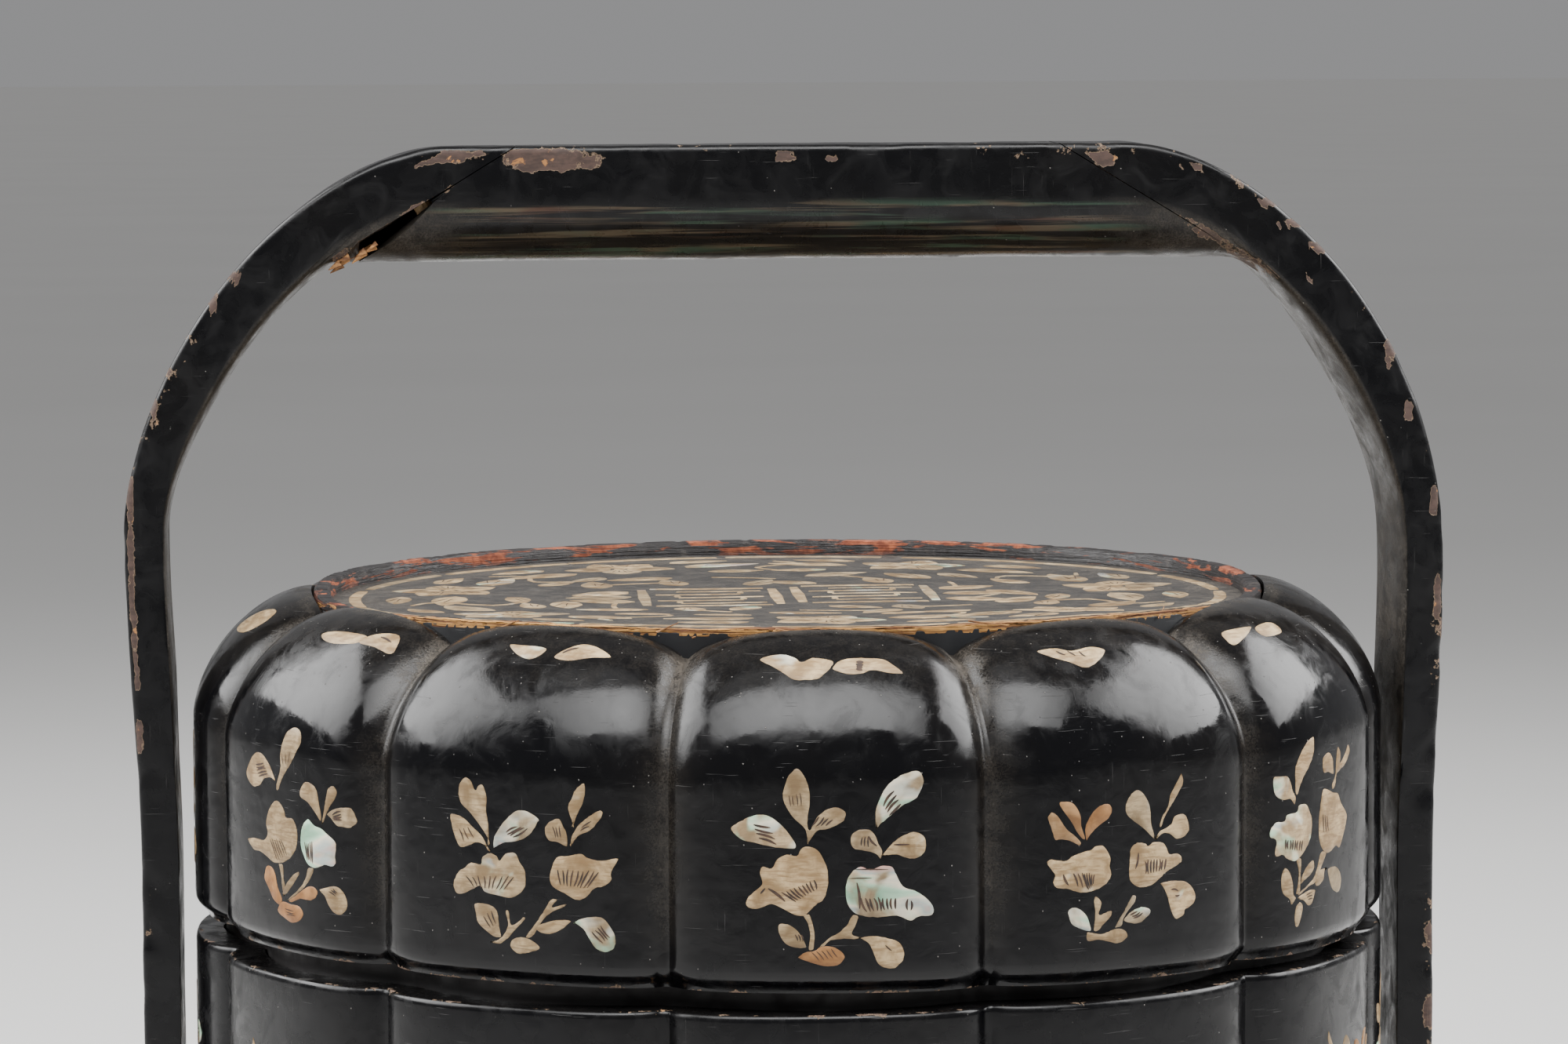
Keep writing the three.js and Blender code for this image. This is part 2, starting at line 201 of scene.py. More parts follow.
bpy.ops.object.camera_add(location=eye)
camera = bpy.context.object
camera.rotation_mode = "QUATERNION"
basis = camera.matrix_world.to_3x3()
basis.col[0], basis.col[1], basis.col[2] = cam_right, cam_up, -ahead
camera.rotation_quaternion = basis.to_quaternion()
camera.data.sensor_width = 36
camera.data.lens = 36 * focal / photo_width
camera.data.clip_start = 0.05
camera.data.clip_end = 300
bpy.context.scene.camera = camera


def seen_at(point):
    """Pixel of the 2000 x 1331 photograph where a point of the object is seen."""
    away = point - eye
    deep = away.dot(ahead)
    return Vector((photo_width / 2 + focal * away.dot(cam_right) / deep,
                   photo_height / 2 - focal * away.dot(cam_up) / deep))


# ---------------------------------------------------------------- lacquer
# Aged black lacquer: satin, with smears, hair scratches, dust, and chips along worn edges
# where the brown ground and then the bare wood come through.


def shader_group(name, inputs, outputs):
    made = bpy.data.node_groups.new(name, "ShaderNodeTree")
    for label, kind, value in inputs:
        socket = made.interface.new_socket(label, in_out="INPUT", socket_type="NodeSocket" + kind)
        if value is not None:
            socket.default_value = value
    for label, kind in outputs:
        made.interface.new_socket(label, in_out="OUTPUT", socket_type="NodeSocket" + kind)
    enter = made.nodes.new("NodeGroupInput")
    leave = made.nodes.new("NodeGroupOutput")
    return made, enter.outputs, leave.inputs


def use_group(tree, group, values):
    made = tree.nodes.new("ShaderNodeGroup")
    made.node_tree = group
    for key, value in values.items():
        connect(tree, made.inputs[key], value)
    return made.outputs


# On the uprights' inner faces the dust_and_sheen mark is a painted sheen, a flat grey for caught
# light.
old_lacquer, enter, leave = shader_group(
    "old_lacquer",
    [("Vector", "Vector", None), ("Wear", "Float", 0.0), ("Dust_and_sheen", "Float", 0.0),
     ("Specks", "Float", 0.1), ("Black", "Color", (0.0018, 0.0018, 0.0023, 1)),
     ("Ground", "Color", (0.16, 0.105, 0.08, 1)), ("Wood", "Color", (0.42, 0.21, 0.08, 1)),
     ("Gloss", "Float", 0.17)],
    [("Color", "Color"), ("Roughness", "Float"), ("Height", "Float")])
tree = old_lacquer
place = enter["Vector"]
broad = noise_of(tree, place, 28, 3)
smear = noise_of(tree, place, 130, 5, 0.6, 0.8)
fine = noise_of(tree, place, 1400, 2)
waves = noise_of(tree, place, 55, 3, 0.6)
chip_level = plus(tree, times(tree, noise_of(tree, place, 150, 4, 0.6, 0.5), 0.7),
                  (noise_of(tree, place, 900, 3), 0.3), (enter["Wear"], 0.5))
chip = step(tree, chip_level, 0.86, 0.875)
chip_lip = times(tree, step(tree, chip_level, 0.85, 0.86),
                 step(tree, chip_level, 0.885, 0.9, 1.0, 0.0))
deep_chip = step(tree, noise_of(tree, place, 230, 4, 0.6, 0.4), 0.63, 0.67)
hair = noise_of(tree, place, (90, 90, 4200), 2)
hair_up = noise_of(tree, place, (4600, 4600, 70), 2)
scratch = calc(tree, "MAXIMUM", step(tree, hair, 0.70, 0.76), step(tree, hair_up, 0.72, 0.78))
cells = node(tree, "TexVoronoi", {"Vector": place, "Scale": 650.0})
chosen = step(tree, node(tree, "SeparateColor", {"Color": cells.outputs["Color"]}).outputs[0],
              calc(tree, "SUBTRACT", 1.0, enter["Specks"]),
              calc(tree, "SUBTRACT", 1.02, enter["Specks"]))
speck = times(tree, chosen, step(tree, cells.outputs["Distance"], 0.04, 0.12, 1.0, 0.0))
dust_grain = times(tree, step(tree, noise_of(tree, place, 2300, 3, 0.7), 0.38, 0.64, 0.35, 1.0),
                   step(tree, noise_of(tree, place, 240, 4, 0.65), 0.3, 0.65, 0.3, 1.0))
dust_and_sheen = times(tree, enter["Dust_and_sheen"], dust_grain)
colour = blend(tree, step(tree, broad, 0.45, 0.75, 0.0, 0.5), enter["Black"],
               (0.0045, 0.0040, 0.0038))
ground_grain = noise_of(tree, place, (330, 800, 800), 5, 0.65)
ground = blend(tree, step(tree, ground_grain, 0.38, 0.66), enter["Ground"], (0.045, 0.03, 0.025))
ground = blend(tree, deep_chip, ground, enter["Wood"])
colour = blend(tree, chip, colour, ground)
for mark, share, shade in ((chip_lip, 0.6, (0.24, 0.165, 0.105)),
                           (scratch, 0.10, (0.30, 0.29, 0.28)),
                           (dust_and_sheen, 0.5, (0.20, 0.17, 0.135)), (speck, 0.6, (0.32, 0.30, 0.27))):
    colour = blend(tree, times(tree, mark, share), colour, shade)
rough = calc(tree, "ADD", enter["Gloss"], step(tree, smear, 0.35, 0.75, -0.05, 0.22))
rough = plus(tree, rough, (scratch, 0.08), (dust_and_sheen, 0.45), (chip, 0.4), (speck, 0.3))
height = plus(tree, times(tree, smear, 0.15), (fine, 0.022), (waves, 0.75), (scratch, -0.04),
              (chip, -1.2), (speck, 0.5), (dust_and_sheen, 0.25))
for label, value in (("Color", colour), ("Roughness", rough), ("Height", height)):
    tree.links.new(value, leave[label])


def lacquer(name, specks=0.08, gloss=0.17, black=(0.0015, 0.0015, 0.0020), up_dust=0.12,
            ground=(0.16, 0.105, 0.08), wood=(0.42, 0.21, 0.08), streaks=False):
    """Lacquer reading the wear and dust_and_sheen marks on its mesh, more dusting on top faces."""
    made, tree = new_material(name, black)
    facing = node(tree, "SeparateXYZ",
                  {"Vector": node(tree, "NewGeometry").outputs["Normal"]}).outputs[2]
    lying = times(tree, step(tree, facing, 0.35, 0.95), up_dust)
    made_of = use_group(tree, old_lacquer, {
        "Vector": coordinates(tree), "Wear": attribute(tree, "wear"),
        "Dust_and_sheen": calc(tree, "MAXIMUM", attribute(tree, "dust_and_sheen"), lying),
        "Specks": calc(tree, "ADD", specks, times(tree, lying, 1.6)),
        "Black": black, "Ground": ground, "Wood": wood, "Gloss": gloss})
    colour = made_of["Color"]
    if streaks:
        long_grain = noise_of(tree, coordinates(tree), (15, 420, 640), 4, 0.6, 0.5)
        tint = noise_of(tree, coordinates(tree), (30, 200, 260), 2)
        shade = blend(tree, step(tree, tint, 0.40, 0.52), (0.045, 0.085, 0.055),
                      (0.115, 0.088, 0.055))
        shade = blend(tree, step(tree, tint, 0.56, 0.66), shade, (0.085, 0.045, 0.028))
        share = times(tree, step(tree, long_grain, 0.47, 0.62), attribute(tree, "streak"))
        colour = blend(tree, times(tree, share, 0.62), colour, shade)
    surface(tree, colour, made_of["Roughness"], made_of["Height"], 0.0003, IOR=1.35)
    return made


black_lacquer = lacquer("black_lacquer", specks=0.15, gloss=0.12)
tray_lacquer = lacquer("tray_lacquer", specks=0.05, gloss=0.22, up_dust=0.05)
neck_lacquer = lacquer("neck_lacquer", black=(0.004, 0.002, 0.0018), gloss=0.42, up_dust=0.06)
inner_lacquer = lacquer("inner_lacquer", black=(0.05, 0.014, 0.009), gloss=0.32, up_dust=0.4)

# ---------------------------------------------------------------- lobed surfaces
# Twelve lobes run up the trays and over the lid; the wood has moved with age, so no face is
# true. Glued pieces stand a hair apart, as glue and lacquer fill the gap.

lobes = 12
lobe_steps = 28
lobe_columns = lobes * lobe_steps
half_turn = math.pi / lobes
crest_radius, groove_radius = 130.4 * MM, 122.4 * MM
half_lobe = groove_radius * math.sin(half_turn)
lobe_power, inner_power = 2.3, 1.5
wall = 6 * MM
fillet = 0.24
glue_gap = 0.15 * MM
face_ripple, ripple_size = 0.35 * MM, 0.035


def smooth(share):
    held = min(max(share, 0.0), 1.0)
    return held * held * (3 - 2 * held)


def lobed_point(lobe, share, crest, groove, power, crest_z, groove_z, ripple=0.0):
    """Spot on a lobe, whose share runs from its left groove (-1) to its right one (1)."""
    chord = groove * math.cos(half_turn)
    swell = max(1 - min(abs(share), 1.0) ** power, 0.0) ** (1 / power)
    swell = ((swell ** 3 + fillet ** 3) / (1 + fillet ** 3)) ** (1 / 3)
    out = chord + (crest - chord) * swell
    across = share * groove * math.sin(half_turn)
    angle = 2 * half_turn * lobe
    z = groove_z + (crest_z - groove_z) * swell

    def at(out):
        return Vector((out * math.cos(angle) - across * math.sin(angle),
                       out * math.sin(angle) + across * math.cos(angle), z))

    # A ripple only goes inward, so that nothing leaves the true outline
    return at(out + ripple * (noise.noise(at(out) / ripple_size) - 1) / 2) if ripple else at(out)


def lobe_share(column, power):
    """Lobe of a column of the grid, and its share of the way across."""
    lobe, rest = divmod(column % lobe_columns, lobe_steps)
    cosine = math.cos(math.pi * rest / lobe_steps)
    return lobe, -math.copysign(abs(cosine) ** (2 / power), cosine)


def turn_outward():
    """Ends the editing of a mesh with all its faces turned outward."""
    bpy.ops.mesh.select_all(action="SELECT")
    bpy.ops.mesh.normals_make_consistent(inside=False)
    bpy.ops.object.mode_set(mode="OBJECT")


def rolled(name, columns, rows, place, marks=("wear", "dust_and_sheen")):
    """A grid rolled up by the place function, with its seams joined and its marks painted."""
    bpy.ops.mesh.primitive_grid_add(x_subdivisions=columns, y_subdivisions=rows, size=2)
    made = bpy.context.object
    made.name = name
    mesh = made.data
    mesh.name = name
    painted = {mark: [0.0] * len(mesh.vertices) for mark in marks}
    for vertex in mesh.vertices:
        i = round((vertex.co.x + 1) / 2 * columns)
        j = round((vertex.co.y + 1) / 2 * rows)
        vertex.co, values = place(i, j)
        for mark, value in zip(marks, values):
            painted[mark][vertex.index] = value
    for mark, values in painted.items():
        layer = mesh.attributes.new(mark, "FLOAT", "POINT")
        layer.data.foreach_set("value", values)
    bpy.ops.object.mode_set(mode="EDIT")
    bpy.ops.mesh.select_all(action="SELECT")
    bpy.ops.mesh.remove_doubles(threshold=0.000002)
    turn_outward()
    return made


def select_only(*pieces):
    bpy.ops.object.select_all(action="DESELECT")
    for piece in pieces:
        piece.select_set(True)
    bpy.context.view_layer.objects.active = pieces[0]


def finish_piece(made, body, material, *replaced, angle=40):
    select_only(made)
    bpy.ops.object.shade_smooth_by_angle(angle=math.radians(angle))
    made.data.materials.append(material)
    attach(made, body)
    if replaced:
        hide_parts(*replaced)


def lobed_grid(name, rows, outer_ripple=0.0):
    """Lobed rows rolled up. A row: (crest, groove, power, z, wear, dust)."""
    def place(i, j):
        crest, groove, power, z, wear, dust_and_sheen = rows[j]
        lobe, share = lobe_share(i, power)
        ripple = outer_ripple if power == lobe_power else 0.0
        return lobed_point(lobe, share, crest, groove, power, z, z, ripple), (wear, dust_and_sheen)

    return rolled(name, lobe_columns, len(rows) - 1, place)


def lobed_ring(name, rows):
    """Closed ring of lobed rows."""
    return lobed_grid(name, rows + rows[:1], face_ripple)


def lobed_disc(name, rows, start_z, end_z):
    """Solid between lobed rows, closed at the axis below and above."""
    crest, groove, power, _, _, dust_and_sheen = rows[-1]
    below = [(0.0, 0.0, rows[0][2], start_z, 0.0, 0.0)]
    above = [(crest * share, groove * share, power, end_z, 0.0, dust_and_sheen)
             for share in (0.75, 0.5, 0.25, 0.0)]
    return lobed_grid(name, below + rows + above)


def between(low, high, count):
    return [low + (high - low) * k / count for k in range(count + 1)]


def quarter(count):
    """Steps round an edge: how far it is drawn in, and how far it still has to rise, as shares
    of its radius."""
    return [(1 - math.cos(turn), 1 - math.sin(turn)) for turn in between(0.0, math.pi / 2, count)]


def arch(share, power):
    """Across and up, each from 0 to 1, on a quarter of a squared circle."""
    bend = min(max(share, 0.0), 1.0) * math.pi / 2
    return max(math.cos(bend), 0.0) ** (2 / power), math.sin(bend) ** (2 / power)


def lengths_along(points):
    """Length of the line from its first point to each of its points."""
    lengths = [0.0]
    for a, b in zip(points, points[1:]):
        lengths.append(lengths[-1] + math.hypot(b[0] - a[0], b[1] - a[1]))
    return lengths


def found_in(lengths, length):
    """The step of a line in which a length falls, found by halving, and the share of it."""
    low, high = 0, len(lengths) - 1
    while high - low > 1:
        middle = (low + high) // 2
        low, high = (middle, high) if lengths[middle] <= length else (low, middle)
    return low, (length - lengths[low]) / (lengths[high] - lengths[low])


# ---------------------------------------------------------------- base
# Lobed board on a flared foot ring, with a low curb glued on top round the bottom tray.
# Turned and carved wood, lacquered; the edges are rubbed where the base is set down.

board_crest, board_groove = 145.6 * MM, 137.6 * MM
foot_height, board_top, curb_top = 12 * MM, 22 * MM, 28 * MM
foot_top, curb_foot = foot_height - glue_gap, board_top + glue_gap
board_edge, curb_edge = 2.2 * MM, 1.2 * MM


def board_row(inset, z, wear=0.0, dust_and_sheen=0.0):
    return (board_crest - inset, board_groove - inset, lobe_power, z, wear, dust_and_sheen)


foot_rows = [board_row(1 * MM + 2 * MM * smooth(k / 6), foot_top * k / 6, 0.5 - 0.07 * k)
             for k in range(7)]
foot_rows += [board_row(13 * MM, z, 0.3) for z in (foot_top, 6 * MM, 0.0)]
foot_rows += [board_row(7 * MM, 0.0, 0.6)]
finish_piece(lobed_ring("foot_ring", foot_rows), "frame", black_lacquer, "base_foot")

board_rows = [board_row(0.8 * MM, foot_height, 0.4), board_row(0.0, foot_height + 1 * MM, 0.5)]
board_rows += [board_row(0.0, z, 0.1) for z in between(14.5 * MM, 18.5 * MM, 3)]
board_rows += [board_row(board_edge * drawn, board_top - board_edge * down, 0.46, 0.1)
               for drawn, down in quarter(6)]
board_rows.append(board_row(8 * MM, board_top, 0.0, 0.35))
board_rows.append(board_row(20 * MM, board_top, 0.0, 0.5))
finish_piece(lobed_disc("board", board_rows, foot_height, board_top), "frame", black_lacquer,
             "base_board")


def curb_row(offset, z, wear=0.0, dust_and_sheen=0.0):
    return (curb_crest + offset, curb_groove + offset, lobe_power, z, wear, dust_and_sheen)


curb_crest, curb_groove, curb_width = 131.2 * MM, 126.9 * MM, 4 * MM
notch_middle, notch_size = 143.3 * MM, (20 * MM, 25.6 * MM, 26 * MM)
curb_rows = [curb_row(curb_width, curb_foot, 0.0, 0.7)]
curb_rows += [curb_row(curb_width, z) for z in between(23 * MM, 26.6 * MM, 3)]
curb_rows += [curb_row(curb_width - curb_edge * drawn, curb_top - curb_edge * down, 0.5)
              for drawn, down in quarter(5)]
curb_rows += [curb_row(0.8 * MM, curb_top, 0.5), curb_row(0.0, curb_top - 0.7 * MM, 0.4),
              curb_row(0.0, 25 * MM, 0.0, 0.4), curb_row(0.0, curb_foot, 0.0, 0.4)]
curb = lobed_ring("curb", curb_rows)
for side in (-1, 1):
    bpy.ops.mesh.primitive_cube_add(size=1, location=(side * notch_middle, 0, board_top))
    notch = bpy.context.object
    notch.scale = notch_size
    bpy.ops.object.transform_apply(location=True, rotation=True, scale=True)
    select_only(curb)
    cutter = curb.modifiers.new("notch", "BOOLEAN")
    cutter.object = notch
    bpy.ops.object.modifier_apply(modifier="notch")
    bpy.data.objects.remove(notch)
finish_piece(curb, "frame", black_lacquer, "base_curb")

# ---------------------------------------------------------------- handle
# Two bent uprights and a thick grip scarfed between them, tenoned into the board. The left
# scarf has opened, the right side has twisted, and the outer edges are chipped to the ground.

foot_half, span_half, flat_half = 141.6 * MM, 144.4 * MM, 74.4 * MM
spring_z, grip_z = 276.7 * MM, 359.7 * MM
flare_height, arch_power = 74 * MM, 1.7
strap_side, strap_corner = 12.5 * MM, 1.5 * MM
thin, thick = 8 * MM, 10.4 * MM
upright_belly, spring_belly, grip_belly = 1.4 * MM, 4.0 * MM, 15 * MM
scarf_middle = Vector((79.3 * MM, 0, grip_z - 12.7 * MM))
scarf_tilt = math.radians(31.4)
underside_z = grip_z - thick - grip_belly


def right_half_line():
    """Outer line of the right half, foot to crown: place, thickness and belly."""
    line = [(foot_half, z, thin, 0.0)
            for z in between(board_top + glue_gap, spring_z - flare_height, 120)]
    for up in between(0.0, flare_height, 60)[1:]:
        line.append((foot_half + (span_half - foot_half) * smooth(up / flare_height),
                     spring_z - flare_height + up, thin,
                     upright_belly * smooth((up - 8 * MM) / (40 * MM))))
    for share in between(0.0, 1.0, 240)[1:]:
        across, up = arch(share, arch_power)
        up *= grip_z - spring_z
        line.append((flat_half + (span_half - flat_half) * across, spring_z + up,
                     thin + (thick - thin) * smooth(share),
                     upright_belly + (spring_belly - upright_belly) * smooth(up / (44 * MM))))
    return line + [(x, grip_z, thick, spring_belly) for x in between(flat_half, 0.0, 50)[1:]]


half_line = right_half_line()
whole_line = half_line + [(-x, z, a, b) for x, z, a, b in reversed(half_line[:-1])]
reach = lengths_along(whole_line)
strap_length = reach[-1]


def line_at(length):
    """Outer line at a length from the right foot."""
    low, share = found_in(reach, length)
    return [a + (b - a) * share for a, b in zip(whole_line[low], whole_line[low + 1])]


section_steps = 56
# Shares of the way round where the outer face, a corner, a side, the belly and a side end
face_end, corner_end, side_end, belly_end, far_end = 0.25, 0.32, 0.42, 0.83, 0.93


def section_at(step_number, thickness, belly):
    """Depth from the outer face, sideways place, and how near an outer corner it lies."""
    share = (step_number % section_steps) / section_steps
    side = strap_side

    def run(start, end):
        return (share - start) / (end - start)

    if share < face_end:
        y = side - strap_corner - run(0, face_end) * 2 * (side - strap_corner)
        return 0.0, y, smooth(abs(y) / side * 2.2 - 1.2)
    if share < corner_end:
        bend = run(face_end, corner_end) * math.pi / 2
        return strap_corner * (1 - math.cos(bend)), strap_corner * (1 - math.sin(bend)) - side, 1.0
    if share < side_end:
        down = run(corner_end, side_end)
        return strap_corner + (thickness - strap_corner) * down, -side, smooth(1 - down * 1.4)
    if share < belly_end:
        bend = run(side_end, belly_end) * math.pi
        roundness = 0.40 + 0.50 * smooth((belly - spring_belly) / (5 * MM))
        depth = thickness + max(belly, 0.4 * MM) * max(math.sin(bend), 0.0) ** roundness
        return depth, -side * math.cos(bend), 0.35 * (1 - math.sin(bend)) ** 4
    if share < far_end:
        up = run(belly_end, far_end)
        return thickness + (strap_corner - thickness) * up, side, smooth(up * 1.4 - 0.4)
    bend = run(far_end, 1) * math.pi / 2
    return strap_corner * (1 - math.sin(bend)), side - strap_corner * (1 - math.cos(bend)), 1.0


# The right side is twisted above its middle, and leans in where the arch springs
right_twist = math.radians(6)
right_lean = 1.2 * MM
# Shallow dents everywhere, and deeper bruises along the outer corners
dent_depth, dent_size = 0.5 * MM, 0.018
bruise_depth, bruise_size = 0.9 * MM, 0.009
line_look, belly_blend = 2.5 * MM, 1.6 * MM


def strap_point(length, step_number):
    """Spot at a length along the strap and a step round its section, and its corner mark."""
    x, z, thickness, belly = line_at(length)
    back = line_at(max(length - line_look, 0.0))
    on = line_at(min(length + line_look, strap_length))
    along = Vector((on[0] - back[0], 0, on[1] - back[1])).normalized()
    if z > underside_z:
        down = min((z - underside_z) / max(abs(along.x), 0.2) - thickness, grip_belly)
        belly = (belly + down + math.hypot(belly - down, belly_blend)) / 2
    depth, y, corner = section_at(step_number, thickness, belly)
    point = Vector((x - along.z * depth, y, z + along.x * depth))
    hollow = dent_depth * (0.5 - 0.5 * noise.noise(point / dent_size)) \
        + bruise_depth * corner * max(noise.noise(point / bruise_size) - 0.05, 0.0)
    centre = Vector((x - along.z * thickness * 0.6, 0, z + along.x * thickness * 0.6))
    point += (centre - point).normalized() * hollow
    if point.x > 0:
        turn = right_twist * smooth((point.z - spring_z + 80 * MM) / (40 * MM)) \
            * smooth((point.x - 98 * MM) / (24 * MM))
        pivot = Vector((x, -strap_side, point.z))
        point = pivot + Matrix.Rotation(turn, 3, "Z") @ (point - pivot)
        point.x -= right_lean * math.exp(-((z - spring_z - 12 * MM) / (24 * MM)) ** 2)
    return point, corner


def scarf_side(point, hand, gap=0.0, opened=0.0):
    """Above zero on the grip's side of the scarf; the gap widens downwards by opened."""
    normal = Vector((hand * math.sin(scarf_tilt), 0, math.cos(scarf_tilt)))
    middle = Vector((hand * scarf_middle.x, 0, scarf_middle.z))
    opened *= smooth((grip_z - 8 * MM - point.z) / (13 * MM))
    opened *= smooth((1 * MM - point.y) / (5 * MM))
    return -(point - middle).dot(normal) - gap - opened


def crossing(step_number, hand, gap, opened=0.0):
    """Length along the strap where one line of the section meets a scarf face."""
    inner = strap_length / 2 - hand * 45 * MM
    outer = inner
    for _ in range(60):
        if scarf_side(strap_point(outer, step_number)[0], hand, gap, opened) <= 0:
            break
        inner, outer = outer, outer - hand * 1 * MM
    for _ in range(14):
        middle = (inner + outer) / 2
        on_grip = scarf_side(strap_point(middle, step_number)[0], hand, gap, opened) > 0
        inner, outer = (middle, outer) if on_grip else (inner, middle)
    return (inner + outer) / 2


# Chips on the front, each with its middle and half size in pixels of the photograph
chips = [(704, 204, 66, 17), (590, 199, 34, 8), (552, 207, 24, 8), (1003, 199, 16, 7),
         (1060, 199, 10, 5), (1308, 197, 30, 4), (1408, 203, 20, 8), (1520, 211, 16, 4),
         (1616, 259, 16, 5), (1646, 284, 18, 6), (1680, 316, 14, 8), (1773, 452, 7, 20),
         (1797, 524, 6, 14), (1829, 640, 5, 20), (1833, 760, 5, 34), (1825, 1290, 8, 26),
         (272, 392, 6, 14), (300, 352, 9, 5), (196, 520, 5, 12), (166, 640, 5, 34),
         (167, 700, 5, 34), (169, 760, 5, 36), (173, 820, 5, 34), (176, 862, 5, 22),
         (1670, 356, 7, 6), (178, 940, 5, 22)]
# How wide the grip's left and right scarf edges are torn, how far under the crown the torn part
# starts, and how far out it ends
torn_edges = {-1: (2.0 * MM, 5 * MM, 101 * MM), 1: (3.0 * MM, 13 * MM, 109 * MM)}


def chipped(point):
    """How deep in one of the chips a spot on the front lies."""
    x, y = seen_at(point)
    best = 0.0
    for middle_x, middle_y, wide, high in chips:
        off = (((x - middle_x) / wide) ** 4 + ((y - middle_y) / high) ** 4) ** 0.25
        best = max(best, smooth((1.5 - off) / 0.9))
    return best if point.y < -6 * MM else 0.0


def strap(name, columns, start_at, end_at):
    starts = [start_at(k) for k in range(section_steps)]
    ends = [end_at(k) for k in range(section_steps)]

    def place(i, j):
        k = j % section_steps
        share = i / columns
        point, corner = strap_point(starts[k] + (ends[k] - starts[k]) * share, k)
        patch = 0.44 + 0.5 * noise.noise(Vector((point.x, 0, point.z)) / 0.03)
        hand = -1 if point.x < 0 else 1
        torn_width, torn_top, torn_end = torn_edges[hand]
        torn = smooth(1.1 - abs(scarf_side(point, hand)) / torn_width) \
            * smooth((grip_z - torn_top - point.z) / (4 * MM)) \
            * smooth((torn_end - abs(point.x)) / (3 * MM))
        wear = max(corner * patch, chipped(point), 0.78 * torn)
        # Second mark: painted sheen on the uprights' inner faces, a flat grey for caught light, not
        # dust.
        under = 1.0 if 0.44 < k / section_steps < 0.81 else 0.0
        at_grip = smooth((84 * MM - abs(point.x)) / (18 * MM))
        return point, (wear, 0.5 * under * (1 - at_grip), under * at_grip)

    made = rolled(name, columns, section_steps, place, ("wear", "dust_and_sheen", "streak"))
    bpy.ops.object.mode_set(mode="EDIT")
    bpy.ops.mesh.select_all(action="DESELECT")
    bpy.ops.mesh.select_non_manifold()
    bpy.ops.mesh.fill_holes(sides=0)
    turn_outward()
    return made


handle_lacquer = lacquer("handle_lacquer", specks=0.05, gloss=0.27, up_dust=0.03,
                         ground=(0.075, 0.047, 0.038), wood=(0.34, 0.155, 0.055), streaks=True)
right_upright = strap("right_upright_strap", 420, lambda k: 0.0,
                      lambda k: crossing(k, 1, -glue_gap))
finish_piece(right_upright, "frame", handle_lacquer, "right_upright")
left_upright = strap("left_upright_strap", 420, lambda k: crossing(k, -1, -glue_gap, -0.4 * MM),
                     lambda k: strap_length)
finish_piece(left_upright, "frame", handle_lacquer, "left_upright")
scarf_gap, scarf_opened = 0.05 * MM, 3.3 * MM
grip = strap("grip", 260, lambda k: crossing(k, 1, scarf_gap),
             lambda k: crossing(k, -1, scarf_gap, scarf_opened))
finish_piece(grip, "frame", handle_lacquer, "grip_bar")

bare_wood, tree = new_material("bare_wood", (0.4, 0.2, 0.07))
grain = noise_of(tree, coordinates(tree), (240, 900, 900), 4, 0.6, 0.4)
surface(tree, blend(tree, step(tree, grain, 0.32, 0.68), (0.11, 0.045, 0.018), (0.50, 0.25, 0.09)),
        0.8, grain, 0.0004)


def sliver(place, turn, thickness, length):
    """A torn wood fibre: a thin flattened cone."""
    bpy.ops.mesh.primitive_cone_add(vertices=5, radius1=thickness, radius2=0.08 * MM, depth=length,
                                    location=place, rotation=turn)
    made = bpy.context.object
    made.scale.y = 0.5
    return made


def joined(name, pieces):
    select_only(*pieces)
    bpy.ops.object.join()
    pieces[0].name = name
    bpy.ops.object.transform_apply(location=True, rotation=True, scale=True)
    return pieces[0]


slivers = []
for k in range(10):
    down = (14 + 9.5 * k / 9 + random.uniform(-0.6, 0.6)) * MM
    spot = Vector((-scarf_middle.x - down * math.cos(scarf_tilt), -10.4 * MM + 1.2 * MM * (k % 3),
                   scarf_middle.z - down * math.sin(scarf_tilt)))
    spot += Vector((math.sin(scarf_tilt), 0, -math.cos(scarf_tilt))) * random.uniform(0.9, 2.6) * MM
    slivers.append(sliver(spot, (random.uniform(-0.2, 0.2),
                                 -math.pi / 2 - scarf_tilt + random.uniform(-0.22, 0.22), 0),
                          random.uniform(0.6, 1.0) * MM, random.uniform(2.2, 3.8) * MM))
splinters = joined("scarf_splinters", slivers)
finish_piece(splinters, "frame", bare_wood)

bamboo, tree = new_material("bamboo", (0.38, 0.24, 0.1))
strand = noise_of(tree, coordinates(tree), (1400, 1400, 180), 4, 0.6)
surface(tree, blend(tree, step(tree, strand, 0.35, 0.7), (0.20, 0.115, 0.045), (0.46, 0.31, 0.15)),
        mixed(tree, strand, 0.45, 0.75), strand, 0.0002)

for name in nodes:
    if name.endswith(("peg_front", "peg_back")):
        for slot in nodes[name].material_slots:
            slot.material = bamboo

# ---------------------------------------------------------------- trays
# Three lobed rings, each with a floor let in near its foot and a neck glued inside its top.
# Black outside, dark red-brown inside; the top edges are rubbed pale.

tray_feet = {"tray_bottom": 22.3 * MM, "tray_middle": 78.7 * MM, "tray_top": 135.1 * MM}
tray_height, neck_rise = 54 * MM, 8 * MM
floor_rise, floor_thickness = 5.9 * MM, 5 * MM


def outer_row(inset, z, wear=0.0, dust_and_sheen=0.0):
    return (crest_radius - inset, groove_radius - inset, lobe_power, z, wear, dust_and_sheen)


def inner_row(inset, z, wear=0.0, dust_and_sheen=0.0):
    return (crest_radius - wall - inset, groove_radius - wall - inset, inner_power, z, wear, dust_and_sheen)


